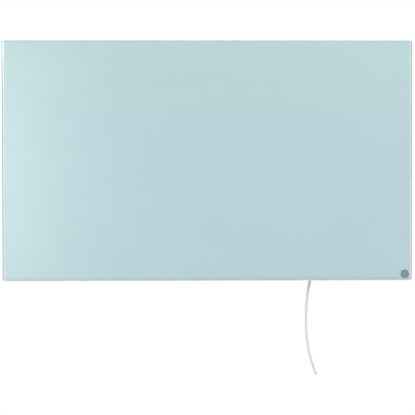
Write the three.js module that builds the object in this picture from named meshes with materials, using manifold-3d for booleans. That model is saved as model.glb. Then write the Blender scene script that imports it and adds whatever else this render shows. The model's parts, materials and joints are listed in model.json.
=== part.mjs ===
// Infrared panel heater: a frameless glass pane on a shallow steel tray, hung on two wall rails.
// Millimetres. +X is right as seen from the front, +Z is up, and the wall is the plane y = 0, so the
// heater lies at -Y. The origin is the centre of the upper rail's back face, on the wall.
import * as THREE from 'three';
import { mergeVertices } from 'three/addons/utils/BufferGeometryUtils.js';
import Module from 'manifold-3d';

const wasm = await Module();
wasm.setup();

// ---- Driving dimensions ----
const SEAT_GAP = 0.3; // between pieces that touch

const PANE_WIDTH = 1000;
const PANE_HEIGHT = 586;
const PANE_THICKNESS = 6;
const PANE_CORNER_RADIUS = 6;
const PANE_EDGE_ROUNDING = 1.6;
const BACKING_SIDE_INSET = 5; // clear glass left beside the coloured backing
const BACKING_END_INSET = 2; // and above and below it
const BACKING_THICKNESS = 0.4;

const BADGE_RADIUS = 10;
const BADGE_THICKNESS = 1.2;
const BADGE_RIM = 1.1;
const BADGE_FROM_SIDE = 17.5;
const BADGE_FROM_BOTTOM = 16;

const WALL_GAP = 28; // wall to the tray's back
const TRAY_DEPTH = 20;
const TRAY_SHEET = 1.2;
const TRAY_INSET = 30; // pane's edge to the tray's side
const TRAY_CORNER_RADIUS = 8;
const FLANGE_WIDTH = 14;
const SEAL_WIDTH = 12;
const SEAL_THICKNESS = 1.5;
const BEAD_LENGTH = 700;
const BEAD_WIDTH = 16;
const BEAD_HEIGHT = 1.5;
const BEAD_FROM_HANGER = 11.2; // lowest bead's edge to the lower hangers
const BEAD_COUNT = 3;

const FILM_MARGIN = 6.3; // tray's inner side to the heating film
const NEUTRAL_TAIL_Z = -200; // where the neutral lead meets its bus bar, from the pane's centre
const RETURN_TAIL_Z = 0;
const FILM_THICKNESS = 1;
const BUSBAR_WIDTH = 12;
const BUSBAR_THICKNESS = 0.6;
const BUSBAR_FROM_EDGE = 4;
const FOIL_THICKNESS = 0.4;
const BOARD_THICKNESS = 12;
const CUTOUT_RADIUS = 8.5;
const CUTOUT_HEIGHT = 8.9;
const CUTOUT_SPACING = 300;
const CUTOUT_TAB_REACH = 13;
const TAB_WIDTH = 6;
const TAB_THICKNESS = 0.8;
const TAB_ABOVE_BOARD = 0.9;
const LEAD_HOLE_CLEARANCE = 6; // round the leads that turn down through the board

const RAIL_LENGTH = 620;
const RAIL_SHEET = 1.5;
const RAIL_FACE_HEIGHT = 40;
const RAIL_DEPTH = 13.5;
const RAIL_LIP_RISE = 14;
const UPPER_RAIL_FROM_TOP = 123; // pane's upper edge to the rail's centre
const LOWER_RAIL_FROM_BOTTOM = 143;
const BEND_INNER_RADIUS = 0.6;
const SLOT_WIDTH = 5.5; // for a 4.5 mm wall screw
const SLOT_LENGTH = 14;
const OUTER_SLOT_X = 280;
const INNER_SLOT_X = 120;

const HANGER_WIDTH = 60;
const HANGER_SHEET = 1.5;
const HANGER_FLANGE_HEIGHT = 36;
const HANGER_LIP_DROP = 10;
const HANGER_X = 230;
const HANGER_PLAY = 0.5; // between the hanger's lip and the rail's lip
const LOWER_HANGER_CLEARANCE = 0.8; // the lower hangers only guide
const HANGER_SCREW_SPACING = 36;
const HANGER_SCREW_RADIUS = 2;
const HANGER_SCREW_LENGTH = 6.6;

const BOX_WIDTH = 110;
const BOX_HEIGHT = 64;
const BOX_WALL = 2;
const BOX_CORNER_RADIUS = 5;
const BOX_DEPTH = 18.4;
const LID_THICKNESS = 2;
const LID_ROUNDING = 0.6;
const BOX_FROM_BOTTOM = 43; // pane's lower edge to the box
const BOSS_RADIUS = 3.5;
const SMALL_SCREW_RADIUS = 1.5;
const LID_SCREW_LENGTH = 14;
const RIVET_RADIUS = 1.6;
const RIVET_HEAD_RADIUS = 3.2;
const RIVET_END_LENGTH = 2.5;
const WIRE_HOLE_RADIUS = 7.5;
const WIRE_HOLE_FROM_SIDE = 24.5; // box's side to the hole's centre
const LEAD_SPREAD = 2.5; // each side of the wire hole's centre

const BLOCK_HEIGHT = 14;
const BLOCK_DEPTH = 11.4;
const BLOCK_END_WALL = 1.5;
const POLE_SPACING = 11;
const POLE_RISE = 4.4; // block's foot to the wires' axis
const POLE_BORE = 1.6;
const POLE_WELL = 2.2;
const BLOCK_ABOVE_BOX_CENTRE = 13;
const STUD_RADIUS = 2;
const STUD_FROM_SIDE = 19; // box's side to the stud's axis
const STUD_LENGTH = 15.5;
const NUT_RADIUS = 4;
const NUT_HEIGHT = 3.2;
const WELD_HEAD_RADIUS = 4.5;
const WELD_HEAD_HEIGHT = 1.2;
const BARREL_RADIUS = 1.7; // ring terminal's crimp
const BARREL_LENGTH = 6;
const WIRE_GRIP = 3; // how far a wire reaches into its pole
const TERMINAL_SCREW_LENGTH = 3.5;

const CORD_RADIUS = 3.5;
const CORE_RADIUS = 1.2;
const CORE_RING = 1.6; // from the cord's axis to each core's axis
const COPPER_RADIUS = 0.65;
const LEAD_RADIUS = 1.2;
const CORD_FROM_SIDE = 245.5; // pane's right edge to the cord
const CORD_DEPTH = 17.5; // wall to the cord's axis
const GLAND_NECK_RADIUS = 6;
const GLAND_FLANGE_RADIUS = 9;
const GLAND_FLANGE_HEIGHT = 4;
const GLAND_BARB = 0.8;
const RELIEF_LENGTH = 30;
const RELIEF_TOP_RADIUS = 7;
const RELIEF_END_RADIUS = 4.9;
const RELIEF_RIBS = 6;
const RELIEF_RIB_RISE = 0.9;
const CLAMP_WIDTH = 28;
const CLAMP_HEIGHT = 8;
const CLAMP_SCREW_SPACING = 20;
const CLAMP_BELOW_BOX_CENTRE = 21;
const CLAMP_BAR_COVER = 2.5; // bar over the cord
const SHEATH_PAST_CLAMP = 7;

// The cord's route, as [x, z] from the point where it leaves the strain relief
const CORD_ROUTE = [
  [0, 0], [0, -5], [-0.5, -11], [-1.9, -19], [-4.1, -28], [-5.7, -38], [-6.9, -49], [-7.9, -61],
  [-8.8, -73], [-9.4, -86], [-9.7, -99], [-9.8, -112], [-9.6, -125], [-9.1, -137], [-8.2, -149],
  [-6.9, -161], [-5.1, -173], [-2.9, -185], [-0.2, -196], [2.8, -207], [5.9, -217], [9.1, -227],
  [12.5, -237], [14.5, -242.9],
];
const CORE_SHOWN = 0.8; // insulation beyond the cut sheath
const COPPER_SHOWN = 0.5; // strands beyond the insulation

// Lengths of the straight steps that wires are drawn in
const CORD_STEP = 2 * 2 * CORD_RADIUS;
const LONG_LEAD_STEP = 2.5 * 2 * LEAD_RADIUS;
const SHORT_LEAD_STEP = 2 * LEAD_RADIUS;

// ---- Places that follow from them: y is depth from the wall, z is from the pane's centre ----
const TRAY_BACK = -WALL_GAP;
const TRAY_INNER_BACK = TRAY_BACK - TRAY_SHEET;
const TRAY_FRONT = TRAY_BACK - TRAY_DEPTH;
const TRAY_WIDTH = PANE_WIDTH - 2 * TRAY_INSET;
const TRAY_HEIGHT = PANE_HEIGHT - 2 * TRAY_INSET;
const SEAL_BACK = TRAY_FRONT - SEAT_GAP;
const BACKING_BACK = SEAL_BACK - SEAL_THICKNESS - SEAT_GAP;
const PANE_BACK = BACKING_BACK - BACKING_THICKNESS - SEAT_GAP;
const PANE_FRONT = PANE_BACK - PANE_THICKNESS;
const FILM_BACK = BACKING_BACK + SEAT_GAP + FILM_THICKNESS;
const BUSBAR_BACK = FILM_BACK + SEAT_GAP + BUSBAR_THICKNESS;
const FOIL_BACK = BUSBAR_BACK + SEAT_GAP + FOIL_THICKNESS;
const BOARD_BACK = FOIL_BACK + SEAT_GAP + BOARD_THICKNESS;
const CUTOUT_BACK = FOIL_BACK + SEAT_GAP + CUTOUT_HEIGHT;
const TAB_BACK = BOARD_BACK + TAB_ABOVE_BOARD + TAB_THICKNESS;
const FILM_WIDTH = TRAY_WIDTH - 2 * (TRAY_SHEET + FILM_MARGIN);
const FILM_HEIGHT = TRAY_HEIGHT - 2 * (TRAY_SHEET + FILM_MARGIN);
const BUSBAR_X = FILM_WIDTH / 2 - BUSBAR_FROM_EDGE - BUSBAR_WIDTH / 2;
const BUSBAR_TAILS = [[BUSBAR_X, NEUTRAL_TAIL_Z], [-BUSBAR_X, RETURN_TAIL_Z]];

const UPPER_RAIL_Z = PANE_HEIGHT / 2 - UPPER_RAIL_FROM_TOP;
const LOWER_RAIL_Z = LOWER_RAIL_FROM_BOTTOM - PANE_HEIGHT / 2;
const RAIL_LIP_TOP = RAIL_FACE_HEIGHT / 2 + RAIL_LIP_RISE;
const HANGERS = [
  ['upper_left', -HANGER_X, UPPER_RAIL_Z + RAIL_LIP_TOP + SEAT_GAP],
  ['upper_right', HANGER_X, UPPER_RAIL_Z + RAIL_LIP_TOP + SEAT_GAP],
  ['lower_left', -HANGER_X, LOWER_RAIL_Z + RAIL_LIP_TOP + LOWER_HANGER_CLEARANCE],
  ['lower_right', HANGER_X, LOWER_RAIL_Z + RAIL_LIP_TOP + LOWER_HANGER_CLEARANCE],
];
const HANGER_SCREW_RISE = (HANGER_FLANGE_HEIGHT + HANGER_SHEET) / 2 + 1;
const HANGER_SCREWS = HANGERS.flatMap(([name, x, z]) => [
  [`${name}_a`, x - HANGER_SCREW_SPACING / 2, z + HANGER_SCREW_RISE],
  [`${name}_b`, x + HANGER_SCREW_SPACING / 2, z + HANGER_SCREW_RISE],
]);
const HANGER_FLANGE_BACK = TRAY_BACK + SEAT_GAP + HANGER_SHEET;
const LOWER_HANGER_TOP = LOWER_RAIL_Z + RAIL_LIP_TOP + LOWER_HANGER_CLEARANCE + HANGER_FLANGE_HEIGHT;
const LOWEST_BEAD_Z = LOWER_HANGER_TOP + BEAD_FROM_HANGER + BEAD_WIDTH / 2;

const BOX_X = PANE_WIDTH / 2 - CORD_FROM_SIDE;
const BOX_BOTTOM = BOX_FROM_BOTTOM - PANE_HEIGHT / 2;
const BOX_Z = BOX_BOTTOM + BOX_HEIGHT / 2;
const BOX_FRONT = TRAY_BACK + SEAT_GAP;
const BOX_FLOOR = BOX_FRONT + BOX_WALL;
const BOX_RIM = BOX_FRONT + BOX_DEPTH;
const LID_BACK = BOX_RIM + SEAT_GAP + LID_THICKNESS;
const BOSS_X = BOX_WIDTH / 2 - BOX_WALL - BOSS_RADIUS + 0.5;
const BOSS_Z = BOX_HEIGHT / 2 - BOX_WALL - BOSS_RADIUS + 0.5;
const BOSSES = [[BOX_X - BOSS_X, BOX_Z + BOSS_Z], [BOX_X + BOSS_X, BOX_Z - BOSS_Z]];
const RIVETS = [[2 - BOSS_X, 5 - BOSS_Z], [BOSS_X - 2, BOSS_Z - 7]].map(([x, z]) => [BOX_X + x, BOX_Z + z]);
const WIRE_HOLE = [BOX_X + BOX_WIDTH / 2 - WIRE_HOLE_FROM_SIDE, BOX_Z - 2];
const STUD = [BOX_X - BOX_WIDTH / 2 + STUD_FROM_SIDE, BOX_Z - 6];
const BLOCK_FRONT = BOX_FLOOR + SEAT_GAP;
const BLOCK_Z = BOX_Z + BLOCK_ABOVE_BOX_CENTRE;
const BLOCK_WIDTH = 3 * POLE_SPACING + 2 * BLOCK_END_WALL;
const POLE_DEPTH = BLOCK_FRONT + POLE_RISE;
const POLES = [['earth', -POLE_SPACING], ['live', 0], ['neutral', POLE_SPACING]];
const GLAND_TOP = BOX_BOTTOM - SEAT_GAP;
const RELIEF_TOP = GLAND_TOP - GLAND_FLANGE_HEIGHT - SEAT_GAP;
const CORD_START = RELIEF_TOP - RELIEF_LENGTH;
const CLAMP_Z = BOX_Z - CLAMP_BELOW_BOX_CENTRE;
const SHEATH_END = CLAMP_Z + CLAMP_HEIGHT / 2 + SHEATH_PAST_CLAMP;
const BARREL_Y = BOX_FLOOR + SEAT_GAP + BARREL_RADIUS;
const RING_BARREL_END = STUD[1] + NUT_RADIUS + BARREL_LENGTH;
const RING_TERMINAL_BACK = BOX_FLOOR + SEAT_GAP + TAB_THICKNESS;

// ---- Outlines: arrays of points, anticlockwise ----
function roundedOutline(width, height, radius, x = 0, z = 0, arcSteps = 5) {
  const outline = [];
  for (const [quarter, sideX, sideZ] of [[0, 1, 1], [1, -1, 1], [2, -1, -1], [3, 1, -1]]) {
    for (let step = 0; step <= arcSteps; step += 1) {
      const angle = (quarter + step / arcSteps) * Math.PI / 2;
      outline.push(new THREE.Vector2(
        x + sideX * (width / 2 - radius) + radius * Math.cos(angle),
        z + sideZ * (height / 2 - radius) + radius * Math.sin(angle),
      ));
    }
  }
  return outline;
}

function circleOutline(radius, x = 0, z = 0, sides = 16) {
  return Array.from({ length: sides }, (_, side) => {
    const angle = side / sides * 2 * Math.PI;
    return new THREE.Vector2(x + radius * Math.cos(angle), z + radius * Math.sin(angle));
  });
}

// The section of a sheet bent at right angles along the centre line through the given corners
function bentOutline(corners, sheet, bendSteps = 3) {
  const points = corners.map(([y, z]) => new THREE.Vector2(y, z));
  const radius = BEND_INNER_RADIUS + sheet / 2;
  const leftSide = [];
  const rightSide = [];
  const addPair = (point, direction) => {
    const normal = new THREE.Vector2(-direction.y, direction.x).multiplyScalar(sheet / 2);
    leftSide.push(point.clone().add(normal));
    rightSide.unshift(point.clone().sub(normal));
  };
  const directions = points.slice(1).map((point, i) => point.clone().sub(points[i]).normalize());
  addPair(points[0], directions[0]);
  for (let i = 1; i < points.length - 1; i += 1) {
    const [before, after] = [directions[i - 1], directions[i]];
    const turn = Math.sign(before.cross(after));
    const start = points[i].clone().addScaledVector(before, -radius);
    const centre = start.clone().addScaledVector(new THREE.Vector2(-before.y, before.x), turn * radius);
    for (let step = 0; step <= bendSteps; step += 1) {
      const angle = turn * step / bendSteps * Math.PI / 2;
      const onBend = start.clone().rotateAround(centre, angle);
      addPair(onBend, before.clone().rotateAround(new THREE.Vector2(), angle));
    }
  }
  addPair(points.at(-1), directions.at(-1));
  return leftSide.concat(rightSide);
}

// ---- Solids from outlines and profiles ----
function shapeOf(outline, holes = []) {
  const shape = new THREE.Shape(outline);
  shape.holes = holes.map((hole) => new THREE.Path(hole));
  return shape;
}

// A plate lying in X and Z, whose wall side is at y = back
function plate(outline, back, thickness, holes = []) {
  const drawn = { depth: thickness, bevelEnabled: false };
  const geometry = new THREE.ExtrudeGeometry(shapeOf(outline, holes), drawn);
  return geometry.rotateX(Math.PI / 2).translate(0, back, 0);
}

// A plate whose long edges are rounded, of the outline's full size
function edgedPlate(width, height, cornerRadius, rounding, back, thickness, holes = []) {
  const outline = roundedOutline(width - 2 * rounding, height - 2 * rounding, cornerRadius - rounding);
  const geometry = new THREE.ExtrudeGeometry(shapeOf(outline, holes), {
    depth: thickness - 2 * rounding, bevelThickness: rounding, bevelSize: rounding, bevelSegments: 3,
  });
  return geometry.rotateX(Math.PI / 2).translate(0, back - rounding, 0);
}

// A section in Y and Z drawn out along X
function alongX(outline, length, x) {
  const geometry = new THREE.ExtrudeGeometry(shapeOf(outline), { depth: length, bevelEnabled: false });
  const axes = [new THREE.Vector3(0, 1, 0), new THREE.Vector3(0, 0, 1), new THREE.Vector3(1, 0, 0)];
  return geometry.applyMatrix4(new THREE.Matrix4().makeBasis(...axes)).translate(x - length / 2, 0, 0);
}

function block([lowX, lowY, lowZ], [highX, highY, highZ]) {
  return new THREE.BoxGeometry(highX - lowX, highY - lowY, highZ - lowZ)
    .translate((lowX + highX) / 2, (lowY + highY) / 2, (lowZ + highZ) / 2);
}

function barAlongY(radius, front, back, x, z, sides = 14) {
  return new THREE.CylinderGeometry(radius, radius, back - front, sides).translate(x, (front + back) / 2, z);
}

function barAlongZ(radius, bottom, top, x, y, sides = 14) {
  return new THREE.CylinderGeometry(radius, radius, top - bottom, sides)
    .rotateX(Math.PI / 2).translate(x, y, (bottom + top) / 2);
}

// A profile of [radius, y] points, turned about the Y axis
function turned(profile, sides = 14) {
  return new THREE.LatheGeometry(profile.map(([radius, y]) => new THREE.Vector2(radius, y)), sides);
}

// A round wire through the given points, drawn in straight steps of about the given length
function wire(points, radius, stepLength, sides = 6) {
  const places = points.map((point) => new THREE.Vector3(...point));
  const path = new THREE.CatmullRomCurve3(places, false, 'centripetal');
  const steps = Math.ceil(path.getLength() / stepLength);
  return new THREE.ExtrudeGeometry(shapeOf(circleOutline(radius, 0, 0, sides)), {
    extrudePath: path, steps, bevelEnabled: false,
  });
}

// ---- Joining and cutting ----
function toSolid(geometry) {
  const bare = geometry.clone();
  bare.deleteAttribute('normal');
  bare.deleteAttribute('uv');
  const merged = mergeVertices(bare, 1e-4);
  const corners = [];
  for (let i = 0; i < merged.index.count; i += 3) {
    const [a, b, c] = [0, 1, 2].map((corner) => merged.index.getX(i + corner));
    if (a !== b && b !== c && c !== a) corners.push(a, b, c);
  }
  return new wasm.Manifold(new wasm.Mesh({
    numProp: 3,
    vertProperties: new Float32Array(merged.attributes.position.array),
    triVerts: new Uint32Array(corners),
  }));
}

function toGeometry(solid) {
  const mesh = solid.getMesh();
  const geometry = new THREE.BufferGeometry();
  geometry.setAttribute('position', new THREE.BufferAttribute(mesh.vertProperties, 3));
  geometry.setIndex(new THREE.BufferAttribute(mesh.triVerts, 1));
  geometry.computeVertexNormals();
  return geometry;
}

function joined(geometries) {
  return toGeometry(geometries.map(toSolid).reduce((whole, piece) => whole.add(piece)));
}

function cut(geometry, tools) {
  return toGeometry(tools.map(toSolid).reduce((whole, tool) => whole.subtract(tool), toSolid(geometry)));
}

// ---- Fasteners, with the head's underside at y = 0 and the shank towards -Y ----
function crossScrew(headRadius, headHeight, shankRadius, length) {
  const body = turned([
    [0, -length], [shankRadius * 0.6, -length], [shankRadius, -length + shankRadius * 0.6],
    [shankRadius, 0], [headRadius, 0], [headRadius, headHeight * 0.45],
    [headRadius * 0.7, headHeight * 0.9], [0, headHeight],
  ], 12);
  const arm = headRadius * 0.55;
  const halfSlot = headRadius * 0.13;
  const floor = headHeight * 0.4;
  return cut(body, [
    block([-arm, floor, -halfSlot], [arm, headHeight + 1, halfSlot]),
    block([-halfSlot, floor, -arm], [halfSlot, headHeight + 1, arm]),
  ]);
}

function slottedScrew(radius, length) {
  const body = turned([[0, -length], [radius, -length], [radius, 0], [0, 0]], 12);
  return cut(body, [block([-radius - 1, -0.8, -0.3], [radius + 1, 1, 0.3])]);
}

// A blind rivet: the head on the wall side, the formed end inside the tray
function rivet() {
  const grip = BOX_WALL + TRAY_SHEET + 3 * SEAT_GAP;
  const formedEnd = -grip - RIVET_END_LENGTH;
  const formedRadius = RIVET_RADIUS + 1;
  return turned([
    [0, formedEnd], [formedRadius * 0.8, formedEnd], [formedRadius, formedEnd + 0.9], [formedRadius, -grip],
    [RIVET_RADIUS, -grip], [RIVET_RADIUS, 0], [RIVET_HEAD_RADIUS, 0], [RIVET_HEAD_RADIUS * 0.8, 0.7], [0, 1],
  ], 12);
}

// ---- Scene graph ----
const part = new THREE.Group();
const heater = new THREE.Group();
heater.position.z = -UPPER_RAIL_Z;
const wallBracket = new THREE.Group();
part.add(heater, wallBracket);

const FINISH = {
  glass: [0xc3dcdd, 0.18, 0],
  backing: [0xb4d2d4, 0.6, 0],
  badge: [0xa6aeae, 0.35, 0.9],
  whiteSteel: [0xe4e6e4, 0.45, 0.3],
  zinc: [0xaab0b4, 0.4, 0.9],
  silicone: [0xd9dbd8, 0.7, 0],
  film: [0x4a3b2a, 0.6, 0],
  copper: [0xb87347, 0.35, 1],
  foil: [0xc9ccce, 0.25, 1],
  board: [0xd8cfae, 0.95, 0],
  bakelite: [0x2a2523, 0.5, 0],
  boxPlastic: [0xdfe1df, 0.55, 0],
  blockPlastic: [0xf0ead2, 0.5, 0],
  rubber: [0xdedfdc, 0.65, 0],
  sheath: [0xe9eaea, 0.5, 0],
  live: [0x6b4023, 0.5, 0],
  neutral: [0x2a5fa8, 0.5, 0],
  earth: [0x6f9a2f, 0.5, 0],
};

function addPiece(name, geometry, finish, group = heater, position = [0, 0, 0]) {
  const [color, roughness, metalness] = FINISH[finish];
  const mesh = new THREE.Mesh(geometry, new THREE.MeshStandardMaterial({ color, roughness, metalness }));
  mesh.name = name;
  mesh.position.set(...position);
  group.add(mesh);
}

// ---- Front: pane, coloured backing and badge ----
function addFront() {
  const pane = edgedPlate(
    PANE_WIDTH, PANE_HEIGHT, PANE_CORNER_RADIUS, PANE_EDGE_ROUNDING, PANE_BACK, PANE_THICKNESS,
  );
  addPiece('glass_pane', pane, 'glass');

  const backing = roundedOutline(
    PANE_WIDTH - 2 * BACKING_SIDE_INSET, PANE_HEIGHT - 2 * BACKING_END_INSET,
    PANE_CORNER_RADIUS - BACKING_END_INSET,
  );
  addPiece('backing_film', plate(backing, BACKING_BACK, BACKING_THICKNESS), 'backing');

  // The badge's axis is turned to face the front: its back is at y = 0 and its face at -thickness
  const dish = BADGE_RADIUS - BADGE_RIM;
  const badge = turned([
    [0, -BADGE_THICKNESS * 0.7], [dish - 0.4, -BADGE_THICKNESS * 0.7], [dish, -BADGE_THICKNESS],
    [BADGE_RADIUS - 0.3, -BADGE_THICKNESS], [BADGE_RADIUS, -BADGE_THICKNESS * 0.7],
    [BADGE_RADIUS, 0], [0, 0],
  ], 32);
  addPiece('badge_disc', badge, 'badge', heater, [
    PANE_WIDTH / 2 - BADGE_FROM_SIDE, PANE_FRONT - SEAT_GAP, BADGE_FROM_BOTTOM - PANE_HEIGHT / 2,
  ]);
}

// ---- Tray and the silicone seal that bonds it to the pane ----
function addTray() {
  const body = plate(roundedOutline(TRAY_WIDTH, TRAY_HEIGHT, TRAY_CORNER_RADIUS), TRAY_BACK, TRAY_DEPTH);
  const inside = roundedOutline(
    TRAY_WIDTH - 2 * TRAY_SHEET, TRAY_HEIGHT - 2 * TRAY_SHEET, TRAY_CORNER_RADIUS - TRAY_SHEET,
  );
  const flange = plate(
    roundedOutline(TRAY_WIDTH + 2 * FLANGE_WIDTH, TRAY_HEIGHT + 2 * FLANGE_WIDTH, TRAY_CORNER_RADIUS),
    TRAY_FRONT + TRAY_SHEET, TRAY_SHEET, [inside],
  );
  const shell = joined([cut(body, [plate(inside, TRAY_INNER_BACK, TRAY_DEPTH)]), flange]);

  const beadHeights = Array.from(
    { length: BEAD_COUNT }, (_, i) => LOWEST_BEAD_Z * (1 - 2 * i / (BEAD_COUNT - 1)),
  );
  const bead = (z, inset, back) => plate(
    roundedOutline(BEAD_LENGTH - 2 * inset, BEAD_WIDTH - 2 * inset, BEAD_WIDTH / 2 - inset - 0.1, 0, z),
    back, BEAD_HEIGHT + TRAY_SHEET / 2,
  );
  const raised = joined([shell, ...beadHeights.map((z) => bead(z, 0, TRAY_BACK + BEAD_HEIGHT))]);
  const hollows = beadHeights.map((z) => bead(z, TRAY_SHEET, TRAY_BACK + BEAD_HEIGHT - TRAY_SHEET));

  const bore = (radius, [x, z]) => barAlongY(radius, TRAY_INNER_BACK - 1, TRAY_BACK + 1, x, z);
  const holes = [
    ...HANGER_SCREWS.map(([, x, z]) => bore(HANGER_SCREW_RADIUS + SEAT_GAP, [x, z])),
    ...RIVETS.map((place) => bore(RIVET_RADIUS + SEAT_GAP, place)),
    bore(WIRE_HOLE_RADIUS, WIRE_HOLE),
    bore(STUD_RADIUS + SEAT_GAP, STUD),
  ];
  addPiece('back_tray', cut(raised, [...hollows, ...holes]), 'whiteSteel');

  const [sealInside, sealOutline] = [0, SEAL_WIDTH].map((grown) => roundedOutline(
    TRAY_WIDTH + 2 * grown, TRAY_HEIGHT + 2 * grown, TRAY_CORNER_RADIUS,
  ));
  addPiece('bond_seal', plate(sealOutline, SEAL_BACK, SEAL_THICKNESS, [sealInside]), 'silicone');
}

// ---- Heating stack inside the tray ----
function addHeatingStack() {
  const sheet = roundedOutline(FILM_WIDTH, FILM_HEIGHT, 2, 0, 0, 2);
  addPiece('heating_film', plate(sheet, FILM_BACK, FILM_THICKNESS), 'film');
  for (const [name, x] of [['busbar_left', -BUSBAR_X], ['busbar_right', BUSBAR_X]]) {
    const strip = roundedOutline(BUSBAR_WIDTH, FILM_HEIGHT - 2 * BUSBAR_FROM_EDGE, 1, x, 0, 2);
    addPiece(name, plate(strip, BUSBAR_BACK, BUSBAR_THICKNESS), 'copper');
  }
  const foilHoles = BUSBAR_TAILS.map(([x, z]) => circleOutline(LEAD_RADIUS + 2, x, z));
  addPiece('reflector_foil', plate(sheet, FOIL_BACK, FOIL_THICKNESS, foilHoles), 'foil');

  const boardHoles = [
    ...BUSBAR_TAILS.map(([x, z]) => circleOutline(LEAD_RADIUS + LEAD_HOLE_CLEARANCE, x, z)),
    circleOutline(CUTOUT_RADIUS + 1, -CUTOUT_SPACING / 2, 0),
    circleOutline(CUTOUT_RADIUS + 1, CUTOUT_SPACING / 2, 0),
  ];
  addPiece('insulation_board', plate(sheet, BOARD_BACK, BOARD_THICKNESS, boardHoles), 'board');

  addPiece('thermal_cutout_left', thermalCutout(-CUTOUT_SPACING / 2), 'bakelite');
  addPiece('thermal_cutout_right', thermalCutout(CUTOUT_SPACING / 2), 'bakelite');
}

// A disc thermostat whose two tabs rise over the board and point left and right
function thermalCutout(x) {
  const pieces = [barAlongY(CUTOUT_RADIUS, CUTOUT_BACK - CUTOUT_HEIGHT, CUTOUT_BACK, x, 0, 20)];
  for (const side of [-1, 1]) {
    const reach = (near, far) => [x + side * near, x + side * far].sort((a, b) => a - b);
    const [postLow, postHigh] = reach(CUTOUT_RADIUS / 2, CUTOUT_RADIUS / 2 + TAB_THICKNESS);
    const [tabLow, tabHigh] = reach(CUTOUT_RADIUS / 2, CUTOUT_TAB_REACH);
    pieces.push(
      block([postLow, CUTOUT_BACK - 1, -TAB_WIDTH / 2], [postHigh, TAB_BACK, TAB_WIDTH / 2]),
      block([tabLow, TAB_BACK - TAB_THICKNESS, -TAB_WIDTH / 2], [tabHigh, TAB_BACK, TAB_WIDTH / 2]),
    );
  }
  return joined(pieces);
}

// ---- Hanger brackets on the tray and the rails on the wall that they hook over ----
function addHangers() {
  const flangeY = HANGER_FLANGE_BACK - HANGER_SHEET / 2;
  const lipY = -(RAIL_DEPTH - RAIL_SHEET - HANGER_PLAY - HANGER_SHEET / 2);
  for (const [name, x, underside] of HANGERS) {
    const webZ = underside + HANGER_SHEET / 2;
    const section = bentOutline([
      [flangeY, underside + HANGER_FLANGE_HEIGHT], [flangeY, webZ], [lipY, webZ],
      [lipY, underside - HANGER_LIP_DROP],
    ], HANGER_SHEET);
    const bores = [-1, 1].map((side) => barAlongY(
      HANGER_SCREW_RADIUS + SEAT_GAP, HANGER_FLANGE_BACK - HANGER_SHEET - 1, HANGER_FLANGE_BACK + 1,
      x + side * HANGER_SCREW_SPACING / 2, underside + HANGER_SCREW_RISE,
    ));
    addPiece(`hanger_${name}`, cut(alongX(section, HANGER_WIDTH, x), bores), 'zinc');
  }
  for (const [name, x, z] of HANGER_SCREWS) {
    const screw = crossScrew(HANGER_SCREW_RADIUS * 1.9, 2.5, HANGER_SCREW_RADIUS, HANGER_SCREW_LENGTH);
    addPiece(`hanger_screw_${name}`, screw, 'zinc', heater, [x, HANGER_FLANGE_BACK + SEAT_GAP, z]);
  }
}

function addWallRails() {
  const faceY = -RAIL_SHEET / 2;
  const lipY = RAIL_SHEET / 2 - RAIL_DEPTH;
  const webZ = (RAIL_FACE_HEIGHT - RAIL_SHEET) / 2;
  const section = bentOutline([
    [faceY, -RAIL_FACE_HEIGHT / 2], [faceY, webZ], [lipY, webZ], [lipY, RAIL_LIP_TOP],
  ], RAIL_SHEET);
  const slots = [-OUTER_SLOT_X, -INNER_SLOT_X, INNER_SLOT_X, OUTER_SLOT_X].map((x) => plate(
    roundedOutline(SLOT_LENGTH, SLOT_WIDTH, SLOT_WIDTH / 2 - 0.01, x, 0), 1, RAIL_SHEET + 2,
  ));
  const rail = cut(alongX(section, RAIL_LENGTH, 0), slots);
  addPiece('wall_rail_upper', rail, 'zinc', wallBracket);
  addPiece('wall_rail_lower', rail.clone(), 'zinc', wallBracket, [0, 0, LOWER_RAIL_Z - UPPER_RAIL_Z]);
}

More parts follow.
